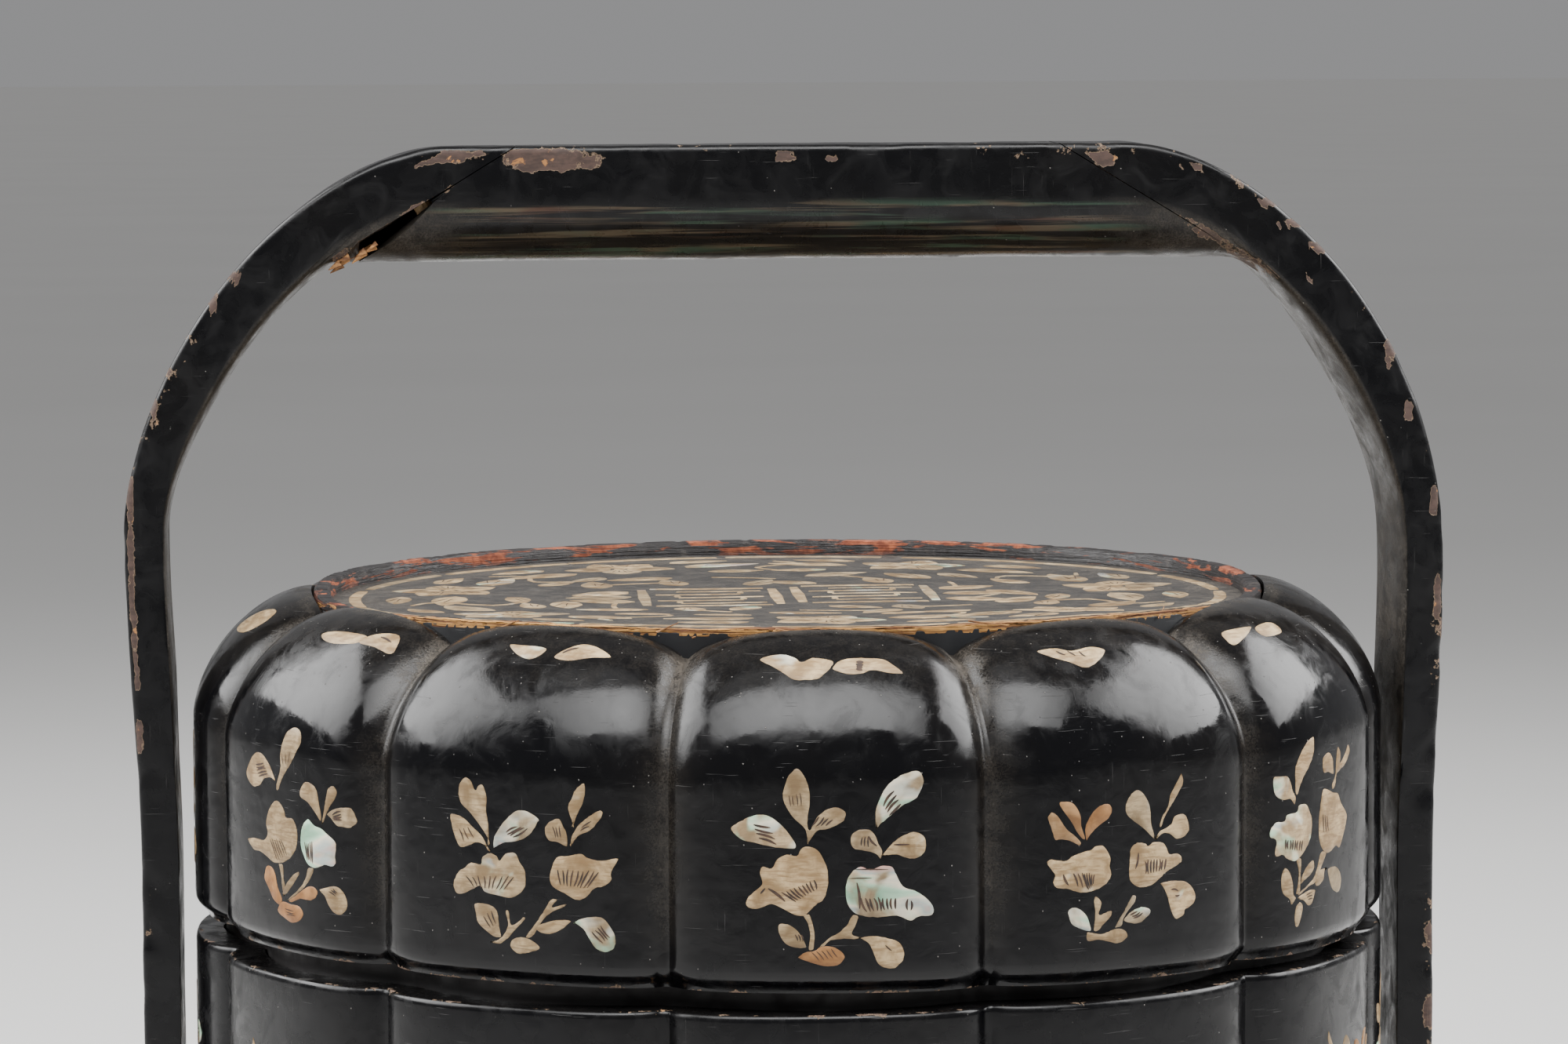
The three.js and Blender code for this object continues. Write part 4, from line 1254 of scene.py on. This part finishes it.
sprigs[8] = read_sprig(8, (540, 960), 4.614, 22 * MM, [
    ((0.4, 0.0, 0.5), [(240, 140), (205, 200), (215, 290), (270, 350), (330, 430), (375, 500),
        (388, 545), (385, 420), (372, 340), (375, 260), (350, 185), (320, 190), (305, 215),
        (280, 160)]),
    ((0.45, 0.0, 0.5), [(155, 360), (165, 430), (185, 500), (215, 555), (260, 550), (310, 530),
        (360, 545), (390, 580), (350, 490), (290, 430), (240, 380), (190, 358)]),
    ((0.2, 0.8, 0.55), [(410, 560), (415, 490), (450, 430), (500, 370), (550, 335), (610, 340),
        (680, 385), (670, 420), (620, 490), (560, 520), (480, 530), (440, 548)]),
    ((0.35, 0.6, 0.55), [(180, 800), (175, 760), (200, 700), (240, 670), (280, 640), (335, 650),
        (345, 610), (390, 585), (435, 605), (450, 630), (480, 590), (540, 585), (570, 640),
        (600, 690), (605, 760), (590, 810), (520, 855), (430, 840), (360, 820), (335, 785),
        (300, 800), (250, 825), (200, 830)]),
    ((0.55, 0.0, 0.55), [(945, 175), (890, 215), (870, 265), (850, 300), (850, 345), (870, 400),
        (880, 440), (895, 400), (920, 340), (940, 300), (955, 230)]),
    ((0.5, 0.0, 0.5), [(862, 550), (870, 490), (910, 420), (960, 380), (1010, 345), (1045, 335),
        (1058, 360), (1030, 410), (980, 460), (910, 495), (882, 535)]),
    ((0.4, 0.0, 0.5), [(850, 545), (845, 470), (825, 430), (800, 385), (750, 395), (715, 430),
        (715, 480), (740, 520), (790, 530), (835, 552)]),
    ((0.6, 0.0, 0.62), [(780, 612), (850, 602), (930, 590), (970, 615), (1050, 630), (1150, 620),
        (1110, 700), (1110, 750), (1060, 790), (1010, 800), (950, 860), (890, 865), (830, 830),
        (760, 790), (740, 740), (750, 680)]),
    ((0.35, 0.0, 0.5), [(300, 885), (350, 880), (410, 900), (440, 940), (450, 1020), (460, 1080),
        (420, 1085), (370, 1050), (320, 1000), (305, 940)]),
    ((0.4, 0.0, 0.42), [(390, 1110), (440, 1095), (480, 1050), (495, 1000), (480, 930), (505, 930),
        (520, 1010), (585, 965), (600, 980), (545, 1040), (500, 1090), (450, 1125)]),
    ((0.4, 0.0, 0.45), [(520, 1100), (560, 1080), (620, 1090), (680, 1130), (680, 1160),
        (600, 1180), (550, 1180), (510, 1140)]),
    ((0.4, 0.0, 0.42), [(600, 1080), (650, 1010), (690, 950), (720, 905), (755, 855), (790, 865),
        (760, 905), (835, 885), (835, 905), (740, 950), (700, 1000), (640, 1085)]),
    ((0.5, 0.0, 0.5), [(650, 1020), (700, 1000), (780, 980), (870, 985), (830, 1030), (760, 1065),
        (690, 1060)]),
    ((0.25, 0.7, 0.5), [(880, 1000), (930, 970), (1000, 960), (1060, 970), (1110, 1030),
        (1135, 1090), (1125, 1150), (1070, 1175), (1010, 1150), (970, 1090), (940, 1040),
        (900, 1010)]),
], [
    ((250, 720, 300, 790), (540, 720, 470, 810), 9, 0.16),
    ((790, 680, 810, 780), (1040, 690, 960, 800), 9, 0.2),
    ((480, 470, 560, 430), (520, 500, 620, 440), 4, 0.22),
    ((210, 440, 240, 520), (260, 430, 300, 500), 3, 0.16),
    ((350, 950, 400, 1030), (400, 920, 430, 1010), 3, 0.16),
    ((990, 1050, 1060, 1120), (1040, 1010, 1100, 1090), 4, 0.2),
    ((760, 430, 780, 500), (800, 430, 810, 500), 3, 0.14),
    ((930, 440, 990, 400), (920, 460, 980, 430), 2, 0.16)])

sprigs[7] = read_sprig(7, (230, 900), 5.227, 22 * MM, [
    ((0.35, 0.0, 0.5), [(760, 140), (795, 155), (808, 200), (800, 260), (765, 330), (730, 400),
        (700, 450), (670, 510), (655, 562), (640, 560), (640, 510), (655, 460), (665, 400),
        (662, 330), (680, 240), (710, 170)]),
    ((0.6, 0.35, 0.6), [(500, 308), (545, 315), (590, 380), (615, 440), (633, 500), (600, 482),
        (560, 490), (530, 530), (490, 540), (455, 500), (440, 440), (460, 370)]),
    ((0.5, 0.0, 0.5), [(640, 625), (670, 650), (695, 700), (705, 740), (750, 750), (780, 830),
        (780, 920), (760, 980), (720, 1030), (670, 1050), (620, 1045), (580, 1010), (530, 970),
        (490, 960), (450, 885), (500, 875), (555, 888), (580, 850), (570, 780), (585, 700),
        (610, 650)]),
    ((0.5, 0.0, 0.5), [(830, 500), (880, 520), (910, 560), (925, 640), (942, 740), (932, 770),
        (900, 720), (850, 650), (800, 610), (795, 560)]),
    ((0.45, 0.0, 0.5), [(985, 545), (1020, 530), (1045, 570), (1035, 620), (1000, 670), (978, 720),
        (960, 770), (940, 785), (950, 720), (960, 650), (970, 590)]),
    ((0.3, 0.3, 0.55), [(975, 720), (1020, 685), (1080, 675), (1140, 680), (1170, 730),
        (1180, 780), (1140, 815), (1080, 810), (1040, 800), (1000, 750)]),
    ((0.2, 1.0, 1.0), [(850, 750), (890, 790), (940, 815), (990, 860), (1035, 905), (1040, 960),
        (1035, 1000), (1040, 1050), (1015, 1075), (960, 1065), (900, 1085), (850, 1060),
        (820, 1000), (800, 930), (800, 850), (815, 790)]),
    ((1.0, 0.0, 0.6), [(580, 1060), (610, 1070), (635, 1120), (650, 1200), (680, 1285),
        (665, 1330), (620, 1290), (590, 1220), (560, 1150), (565, 1090)]),
    ((1.0, 0.0, 0.62), [(690, 1300), (740, 1320), (790, 1330), (820, 1380), (800, 1430),
        (750, 1450), (700, 1420), (650, 1370), (660, 1320)]),
    ((0.95, 0.0, 0.5), [(720, 1295), (780, 1250), (830, 1210), (880, 1200), (915, 1230),
        (910, 1270), (870, 1300), (800, 1290), (745, 1312)]),
    ((0.4, 0.0, 0.5), [(925, 1225), (980, 1205), (1040, 1200), (1090, 1240), (1115, 1300),
        (1110, 1360), (1070, 1395), (1020, 1380), (980, 1320), (960, 1270)]),
    ((0.4, 0.0, 0.35), [(680, 1250), (700, 1190), (740, 1135), (785, 1100), (792, 1130),
        (755, 1190), (705, 1258)]),
    ((0.35, 0.0, 0.32), [(655, 1050), (685, 1060), (690, 1150), (700, 1200), (690, 1275),
        (676, 1200), (668, 1120)]),
    ((0.35, 0.0, 0.35), [(850, 1080), (890, 1085), (870, 1150), (830, 1210), (770, 1265),
        (725, 1300), (715, 1285), (790, 1215), (830, 1150)]),
], [
    ((600, 880, 650, 1030), (670, 880, 715, 1000), 6, 0.16),
    ((830, 900, 850, 1030), (880, 900, 885, 1050), 5, 0.2),
    ((1010, 730, 1075, 700), (1015, 757, 1085, 760), 4, 0.2),
    ((990, 1235, 1040, 1270), (1020, 1215, 1050, 1245), 3, 0.16),
    ((505, 390, 560, 380), (520, 470, 590, 450), 5, 0.22),
    ((700, 1350, 760, 1370), (710, 1390, 770, 1400), 3, 0.14),
    ((680, 330, 690, 400), (730, 300, 720, 380), 3, 0.1)])

sprigs[10] = read_sprig(10, (1320, 960), 5.807, 22 * MM, [
    ((0.75, 0.1, 0.5), [(92, 480), (125, 435), (170, 460), (205, 510), (240, 560), (300, 610),
        (345, 660), (330, 690), (270, 660), (200, 645), (150, 650), (130, 600), (110, 540)]),
    ((0.85, 0.0, 0.42), [(175, 370), (230, 355), (280, 365), (320, 410), (345, 470), (350, 540),
        (370, 600), (375, 640), (350, 640), (310, 590), (270, 520), (220, 450)]),
    ((0.9, 0.0, 0.45), [(375, 640), (370, 550), (400, 480), (450, 410), (510, 375), (560, 380),
        (575, 430), (545, 490), (480, 540), (420, 600), (390, 645)]),
    ((0.5, 0.25, 0.7), [(85, 815), (120, 785), (180, 790), (230, 795), (280, 760), (340, 735),
        (420, 710), (450, 685), (500, 680), (540, 720), (565, 780), (560, 840), (570, 900),
        (540, 960), (490, 1000), (420, 1030), (350, 1040), (300, 1030), (230, 1010), (160, 1005),
        (130, 960), (145, 910), (120, 870)]),
    ((0.3, 0.1, 0.42), [(745, 275), (795, 285), (840, 350), (860, 420), (865, 520), (885, 590),
        (888, 640), (850, 610), (800, 560), (720, 500), (680, 460), (668, 400), (690, 330)]),
    ((0.45, 0.0, 0.52), [(1085, 145), (1100, 190), (1095, 240), (1060, 310), (1020, 380),
        (985, 440), (955, 500), (940, 545), (922, 545), (940, 470), (985, 390), (1000, 310),
        (1050, 210)]),
    ((0.45, 0.1, 0.55), [(888, 645), (920, 580), (960, 555), (1010, 520), (1030, 470), (1080, 445),
        (1120, 460), (1140, 510), (1145, 570), (1110, 620), (1050, 640), (1000, 605), (950, 600),
        (910, 632)]),
    ((0.5, 0.0, 0.6), [(700, 770), (710, 700), (760, 660), (820, 665), (840, 682), (880, 655),
        (950, 660), (980, 700), (1000, 745), (1060, 740), (1090, 770), (1085, 810), (1030, 850),
        (970, 890), (920, 940), (860, 985), (790, 1000), (740, 985), (700, 940), (695, 860)]),
    ((0.6, 0.1, 0.65), [(928, 962), (990, 945), (1060, 940), (1110, 945), (1160, 980),
        (1190, 1040), (1185, 1100), (1140, 1150), (1115, 1160), (1105, 1200), (1060, 1230),
        (1030, 1220), (1000, 1150), (980, 1070), (950, 1000)]),
    ((0.1, 0.45, 0.5), [(245, 1160), (290, 1140), (340, 1155), (385, 1200), (410, 1260),
        (418, 1315), (380, 1320), (320, 1300), (270, 1270), (245, 1210)]),
    ((0.4, 0.2, 0.5), [(435, 1080), (460, 1060), (495, 1100), (490, 1150), (480, 1195),
        (540, 1170), (575, 1170), (560, 1220), (510, 1270), (470, 1320), (432, 1315), (440, 1250),
        (442, 1170)]),
    ((0.5, 0.0, 0.45), [(385, 1325), (440, 1330), (500, 1335), (560, 1310), (620, 1295),
        (670, 1310), (690, 1350), (670, 1385), (610, 1415), (540, 1400), (470, 1388),
        (388, 1395)]),
    ((0.15, 0.7, 0.5), [(590, 1295), (620, 1235), (660, 1165), (690, 1105), (725, 1050),
        (755, 1065), (735, 1120), (690, 1175), (660, 1230), (640, 1285)]),
    ((0.15, 0.85, 0.6), [(665, 1215), (700, 1180), (750, 1150), (800, 1135), (850, 1150),
        (860, 1180), (830, 1220), (780, 1260), (720, 1265), (660, 1248)]),
], [
    one((205, 890, 250, 985), 0.28), ((280, 880, 320, 995), (345, 880, 390, 1010), 3, 0.22),
    ((360, 880, 400, 1020), (440, 890, 430, 975), 5, 0.2), one((765, 735, 742, 860), 0.28),
    ((815, 790, 818, 900), (968, 780, 955, 865), 8, 0.26),
    ((1005, 1010, 1060, 1020), (1035, 1055, 1070, 1050), 2, 0.2),
    ((700, 1200, 760, 1170), (720, 1225, 800, 1180), 3, 0.2)])

sprigs[11] = read_sprig(11, (1590, 900), 5.058, 22 * MM, [
    ((0.65, 0.0, 0.5), [(430, 195), (438, 240), (435, 300), (415, 370), (380, 440), (350, 510),
        (330, 577), (315, 560), (312, 470), (315, 390), (350, 300), (390, 230)]),
    ((0.6, 0.3, 0.6), [(175, 460), (230, 450), (270, 455), (290, 500), (300, 545), (320, 590),
        (312, 640), (295, 620), (280, 605), (230, 610), (185, 580), (168, 520)]),
    ((0.3, 1.0, 1.0), [(335, 640), (385, 630), (410, 680), (425, 740), (415, 850), (380, 930),
        (345, 980), (310, 1005), (260, 990), (235, 965), (190, 975), (180, 940), (190, 890),
        (185, 865), (150, 850), (150, 800), (190, 750), (245, 740), (260, 700), (325, 680)]),
    ((0.65, 0.0, 0.55), [(530, 295), (555, 330), (560, 390), (560, 440), (525, 430), (500, 435),
        (490, 390), (495, 330)]),
    ((0.5, 0.0, 0.6), [(590, 260), (605, 290), (607, 340), (603, 365), (635, 300), (655, 245),
        (665, 290), (640, 370), (600, 420), (580, 445), (575, 500), (558, 540), (550, 510),
        (570, 450), (575, 380), (580, 310)]),
    ((0.6, 0.0, 0.62), [(500, 530), (535, 540), (560, 555), (590, 560), (610, 620), (645, 690),
        (640, 760), (625, 830), (600, 915), (575, 905), (540, 945), (510, 950), (480, 910),
        (465, 840), (465, 740), (475, 640), (485, 570)]),
    ((0.45, 0.0, 0.45), [(320, 990), (355, 985), (352, 1080), (350, 1140), (345, 1205),
        (318, 1215), (330, 1150), (335, 1070)]),
    ((0.45, 0.0, 0.42), [(480, 940), (515, 945), (500, 1000), (480, 1050), (455, 1130),
        (400, 1170), (340, 1225), (335, 1205), (395, 1150), (435, 1100), (455, 1040)]),
    ((0.45, 0.0, 0.45), [(245, 1045), (275, 1060), (300, 1130), (305, 1210), (320, 1240),
        (290, 1285), (275, 1250), (235, 1215), (220, 1150), (225, 1090)]),
    ((0.5, 0.0, 0.42), [(430, 990), (437, 1040), (415, 1090), (372, 1130), (347, 1150),
        (360, 1090), (390, 1030)]),
    ((0.5, 0.1, 0.55), [(330, 1232), (390, 1190), (440, 1180), (440, 1220), (420, 1280),
        (395, 1290), (370, 1260), (342, 1250)]),
    ((0.35, 0.0, 0.5), [(345, 1262), (365, 1290), (355, 1360), (335, 1420), (315, 1425),
        (308, 1360), (320, 1290)]),
    ((0.2, 0.0, 0.5), [(525, 1050), (570, 1030), (600, 1060), (610, 1120), (600, 1190),
        (580, 1205), (550, 1180), (530, 1110)]),
    ((0.35, 0.2, 0.5), [(518, 1045), (503, 1065), (500, 1110), (480, 1150), (450, 1165),
        (440, 1135), (450, 1080), (480, 1050)]),
], [
    ((250, 860, 250, 925), (360, 860, 350, 940), 8, 0.24),
    ((490, 690, 495, 820), (515, 700, 525, 810), 3, 0.22),
    ((380, 1220, 420, 1200), (390, 1250, 425, 1240), 3, 0.14)])

# The butterflies' high brightness is a painted highlight, where the lamps catch the shoulders.
wings[9] = read_sprig(9, (820, 780), 3.336, 62 * MM, [
    ((0.45, 0.5, 1.0), [(495, 205), (540, 185), (600, 180), (650, 195), (675, 212), (720, 195),
        (780, 200), (812, 212), (800, 240), (770, 270), (740, 288), (690, 292), (640, 290),
        (600, 265), (560, 240)]),
    ((0.45, 0.4, 1.0), [(805, 240), (840, 205), (900, 195), (960, 195), (1020, 200), (1060, 220),
        (1110, 262), (1050, 262), (980, 250), (940, 262), (880, 268), (830, 255)]),
], [
    ((905, 215, 940, 215), (905, 245, 935, 250), 4, 0.5)])

wings[8] = read_sprig(8, (0, 0), 1.0, 62 * MM, [
    ((0.4, 0.4, 0.9), [(650, 822), (668, 822), (697, 826), (690, 835), (675, 841), (658, 834)]),
    ((0.6, 0.2, 0.9), [(706, 838), (720, 828), (745, 821), (765, 826), (780, 838), (755, 839),
        (725, 843)]),
], [
    one((715, 834, 740, 826), 0.3)])

wings[7] = read_sprig(7, (0, 0), 1.0, 62 * MM, [
    ((0.5, 0.1, 0.75), [(409, 811), (420, 805), (450, 806), (470, 812), (450, 821), (420, 820)]),
    ((0.5, 0.1, 0.75), [(457, 819), (480, 808), (510, 810), (505, 829), (495, 834), (478, 826)]),
], [
    one((485, 812, 500, 820), 0.3)])

wings[10] = read_sprig(10, (0, 0), 1.0, 62 * MM, [
    ((0.5, 0.2, 0.85), [(1322, 830), (1345, 826), (1366, 829), (1390, 824), (1410, 829),
        (1400, 844), (1385, 852), (1365, 845), (1340, 838)]),
], [
    ((1345, 830, 1360, 836), (1375, 830, 1385, 838), 3, 0.25)])

wings[11] = read_sprig(11, (0, 0), 1.0, 62 * MM, [
    ((0.4, 0.3, 0.95), [(1558, 806), (1575, 801), (1596, 799), (1590, 811), (1575, 823),
        (1562, 815)]),
    ((0.5, 0.1, 0.9), [(1600, 800), (1620, 793), (1636, 806), (1615, 812)]),
], [])

wings[6] = read_sprig(6, (0, 0), 1.0, 60 * MM, [
    ((0.6, 0.1, 0.7), [(302, 801), (320, 786), (345, 776), (353, 780), (335, 795), (310, 807)]),
], [])

wings[0] = read_sprig(0, (0, 0), 1.0, 60 * MM, [
    ((0.5, 0.1, 0.75), [(1672, 776), (1690, 782), (1708, 800), (1698, 802), (1682, 791)]),
], [])


def altered(sprig, move, dim=(1, 1, 1)):
    """A sprig with its places moved and its tones dimmed."""
    outlines, strokes = sprig
    return [([move(p) for p in line], tuple(a * b for a, b in zip(tone, dim)))
            for line, tone in outlines], [(move(a), move(b), width) for a, b, width in strokes]


unseen = {6: 10, 5: 9, 4: 11, 3: 8, 2: 7, 1: 9, 0: 8}
for lobe, source in unseen.items():
    mirror = -1 if lobe % 2 else 1
    sprigs[lobe] = altered(sprigs[source], lambda p: Vector((p.x * mirror, p.y)))
    if lobe not in wings:
        wings[lobe] = wings[7 if lobe % 2 else 9]


def skin_of(point_at):
    """Puts a flat place on a curved face, lifted along the face's own normal."""
    def put(flat, lift):
        here = point_at(flat.x, flat.y)
        aside = point_at(flat.x + small_length, flat.y) - here
        above = point_at(flat.x, flat.y + small_length) - here
        return here + aside.cross(above).normalized() * lift
    return put


for lobe in range(lobes):
    slip_sheet(f"lid_sprig_{lobe:02d}", sprigs[lobe][0] + wings[lobe][0],
               sprigs[lobe][1] + wings[lobe][1],
               skin_of(lambda x, y, lobe=lobe: lid_point(lobe, x / half_lobe, y)), "lid")


def tray_skin(lobe, foot):
    def point_at(x, y):
        return lobed_point(lobe, x / half_lobe, crest_radius, groove_radius, lobe_power,
                           foot + y, foot + y, face_ripple)
    return skin_of(point_at)


for level_number, (body, foot) in enumerate(tray_feet.items()):
    for lobe in range(lobes):
        source = (lobe * 5 + 3 + level_number * 4) % lobes
        mirror = -1 if (lobe + level_number) % 2 else 1
        slips, strokes = altered(
            sprigs[source],
            lambda p: Vector((p.x * mirror * 0.86, 6 * MM + (p.y - 4 * MM) * 0.88)),
            (1, 0.7, 0.85))
        slip_sheet(f"{body}_sprig_{lobe:02d}", slips, strokes, tray_skin(lobe, foot), body)

# ---------------------------------------------------------------- plate inlay
# A roundel of blossoms, leaves and scrolls round two fretwork panels, in a ring border: slips
# of the same shell, let into the field and engraved.


def toward(turn):
    return Vector((math.cos(turn), math.sin(turn)))


def leaf_line(base, turn, length, width, lean=0.0):
    """Outline of a pointed leaf from its base, bent to one side by lean."""
    along = toward(turn)
    side = Vector((-along.y, along.x))
    line = []
    for k in range(20):
        share = k / 10 if k <= 10 else (20 - k) / 10
        half = width / 2 * math.sin(math.pi * (0.04 + 0.92 * share) ** 0.8)
        hand = -1 if k <= 10 else 1
        aside = hand * half + lean * length * share ** 2
        line.append(base + along * length * share + side * aside)
    return line


def band_line(points, width):
    """Outline of a band of even width that follows points."""
    left, right = [], []
    for k, p in enumerate(points):
        before, after = points[max(k - 1, 0)], points[min(k + 1, len(points) - 1)]
        along = (after - before).normalized()
        side = Vector((-along.y, along.x)) * width / 2 * (0.7 if k in (0, len(points) - 1) else 1)
        left.append(p - side)
        right.append(p + side)
    return left + right[::-1]


def around(radius, degrees):
    turn = math.radians(degrees)
    return Vector((radius * MM * math.cos(turn), radius * MM * math.sin(turn)))


field_slips, field_strokes = [], []


def field_tone():
    return (random.choice((0.3, 0.45, 0.5, 0.5, 0.55, 0.62)), random.choice((0.0, 0.0, 0.2, 0.5)),
            random.uniform(0.45, 0.75))


def lay(line):
    field_slips.append((line, field_tone()))


def engrave(base, turn, length, rows, width=0.3):
    """Veins that fan out along a petal or leaf."""
    for k in range(rows):
        split = (k - (rows - 1) / 2) * 0.22
        out = toward(turn + split)
        field_strokes.append((base + out * length * 0.3,
                              base + out * length * random.uniform(0.6, 0.78), width * MM))


def leaf(base, turn, length, width, lean=0.0):
    lay(leaf_line(base, turn, length * MM, width * MM, lean))
    engrave(base, turn, length * MM, 2)


for k in range(15):
    start = k * 24 + random.uniform(-1, 1)
    lay(band_line([around(94.6 + 0.3 * math.sin(k), start + 22.6 * m / 9) for m in range(10)],
                  3.0 * MM))
for k in range(7):
    middle = 360 / 7 * k - 90 + random.uniform(-3, 3)
    heart = around(76 + random.uniform(-1, 1), middle)
    for petal in range(5):
        turn = math.radians(middle + 72 * petal + 20 * random.random())
        out = toward(turn)
        lay(leaf_line(heart + out * 1.6 * MM, turn, 11.5 * MM, 9.6 * MM))
        engrave(heart + out * 1.6 * MM, turn, 11 * MM, 4)
    lay(leaf_line(heart - Vector((1.6 * MM, 0)), 0.0, 3.2 * MM, 3.4 * MM))
    for hand in (-1, 1):
        for radius, aside, turned, length, width, lean in (
                (72, 11, 82, 19, 8.4, 0.2), (84, 11, 88, 15, 6.0, 0.15),
                (61, 13, 128, 13, 6.0, -0.2)):
            leaf(around(radius, middle + hand * aside), math.radians(middle + hand * turned),
                 length, width, lean * hand)
    lay(band_line([around(60 + 3.4 * m, middle + 24 + 4 * math.sin(m * 0.9)) for m in range(8)],
                  1.6 * MM))
for k in range(10):
    middle = 36 * k + 10
    spot = around(46 + 3 * (k % 2), middle)
    if abs(spot.x) > 36 * MM or abs(spot.y) > 28 * MM:
        leaf(spot, math.radians(middle + (70 if k % 2 else -70)), 16, 7.5, 0.15)
        lay(band_line([around(40 + 1.2 * m, middle + 8 + 3 * m) for m in range(7)], 1.5 * MM))
for side in (-1, 1):
    middle = Vector((side * 17 * MM, side * 1.5 * MM))
    far, deep = 14.5 * MM, 19 * MM
    corners = [Vector((far * x, deep * y)) for x, y in ((1, 1), (-1, 1), (-1, -1), (1, -1))]
    bar_end, bar_gap = 2.6 * MM, 7.4 * MM
    for k in range(4):
        a, b = corners[k], corners[(k + 1) % 4]
        gap = (b - a).normalized() * 1.7 * MM
        lay(band_line([middle + a + gap, middle + a + (b - a) * 0.5, middle + b - gap], 3.0 * MM))
    for row in range(5):
        y = (row - 2) * 6.4 * MM
        left, right = bar_end - far, far - bar_gap
        if row % 2 == 0:
            left, right = -right, -left
        lay(band_line([middle + Vector((x, y)) for x in (left, (left + right) / 2, right)],
                      1.9 * MM))
        if row < 4:
            x = right if row % 2 else left
            lay(band_line([middle + Vector((x, y + up * MM)) for up in (1.3, 3.2, 5.1)], 1.9 * MM))
for side in (-1, 1):
    for k in range(3):
        leaf(Vector((side * 34 * MM, (k - 1) * 11 * MM)),
             (0 if side > 0 else math.pi) + (k - 1) * 0.4, 15, 8, 0.1)
    for k in range(4):
        base = Vector(((k - 1.5) * 15.5 * MM, side * 25.5 * MM))
        leaf(base, side * math.pi / 2 + (k - 1.5) * 0.35 + 0.5 * (-1) ** k, 14, 7, 0.2)

slip_sheet("field_roundel", field_slips, field_strokes,
           lambda flat, lift: Vector((flat.x, flat.y, field_z(flat.x, flat.y) + lift)), "lid",
           6 * MM)
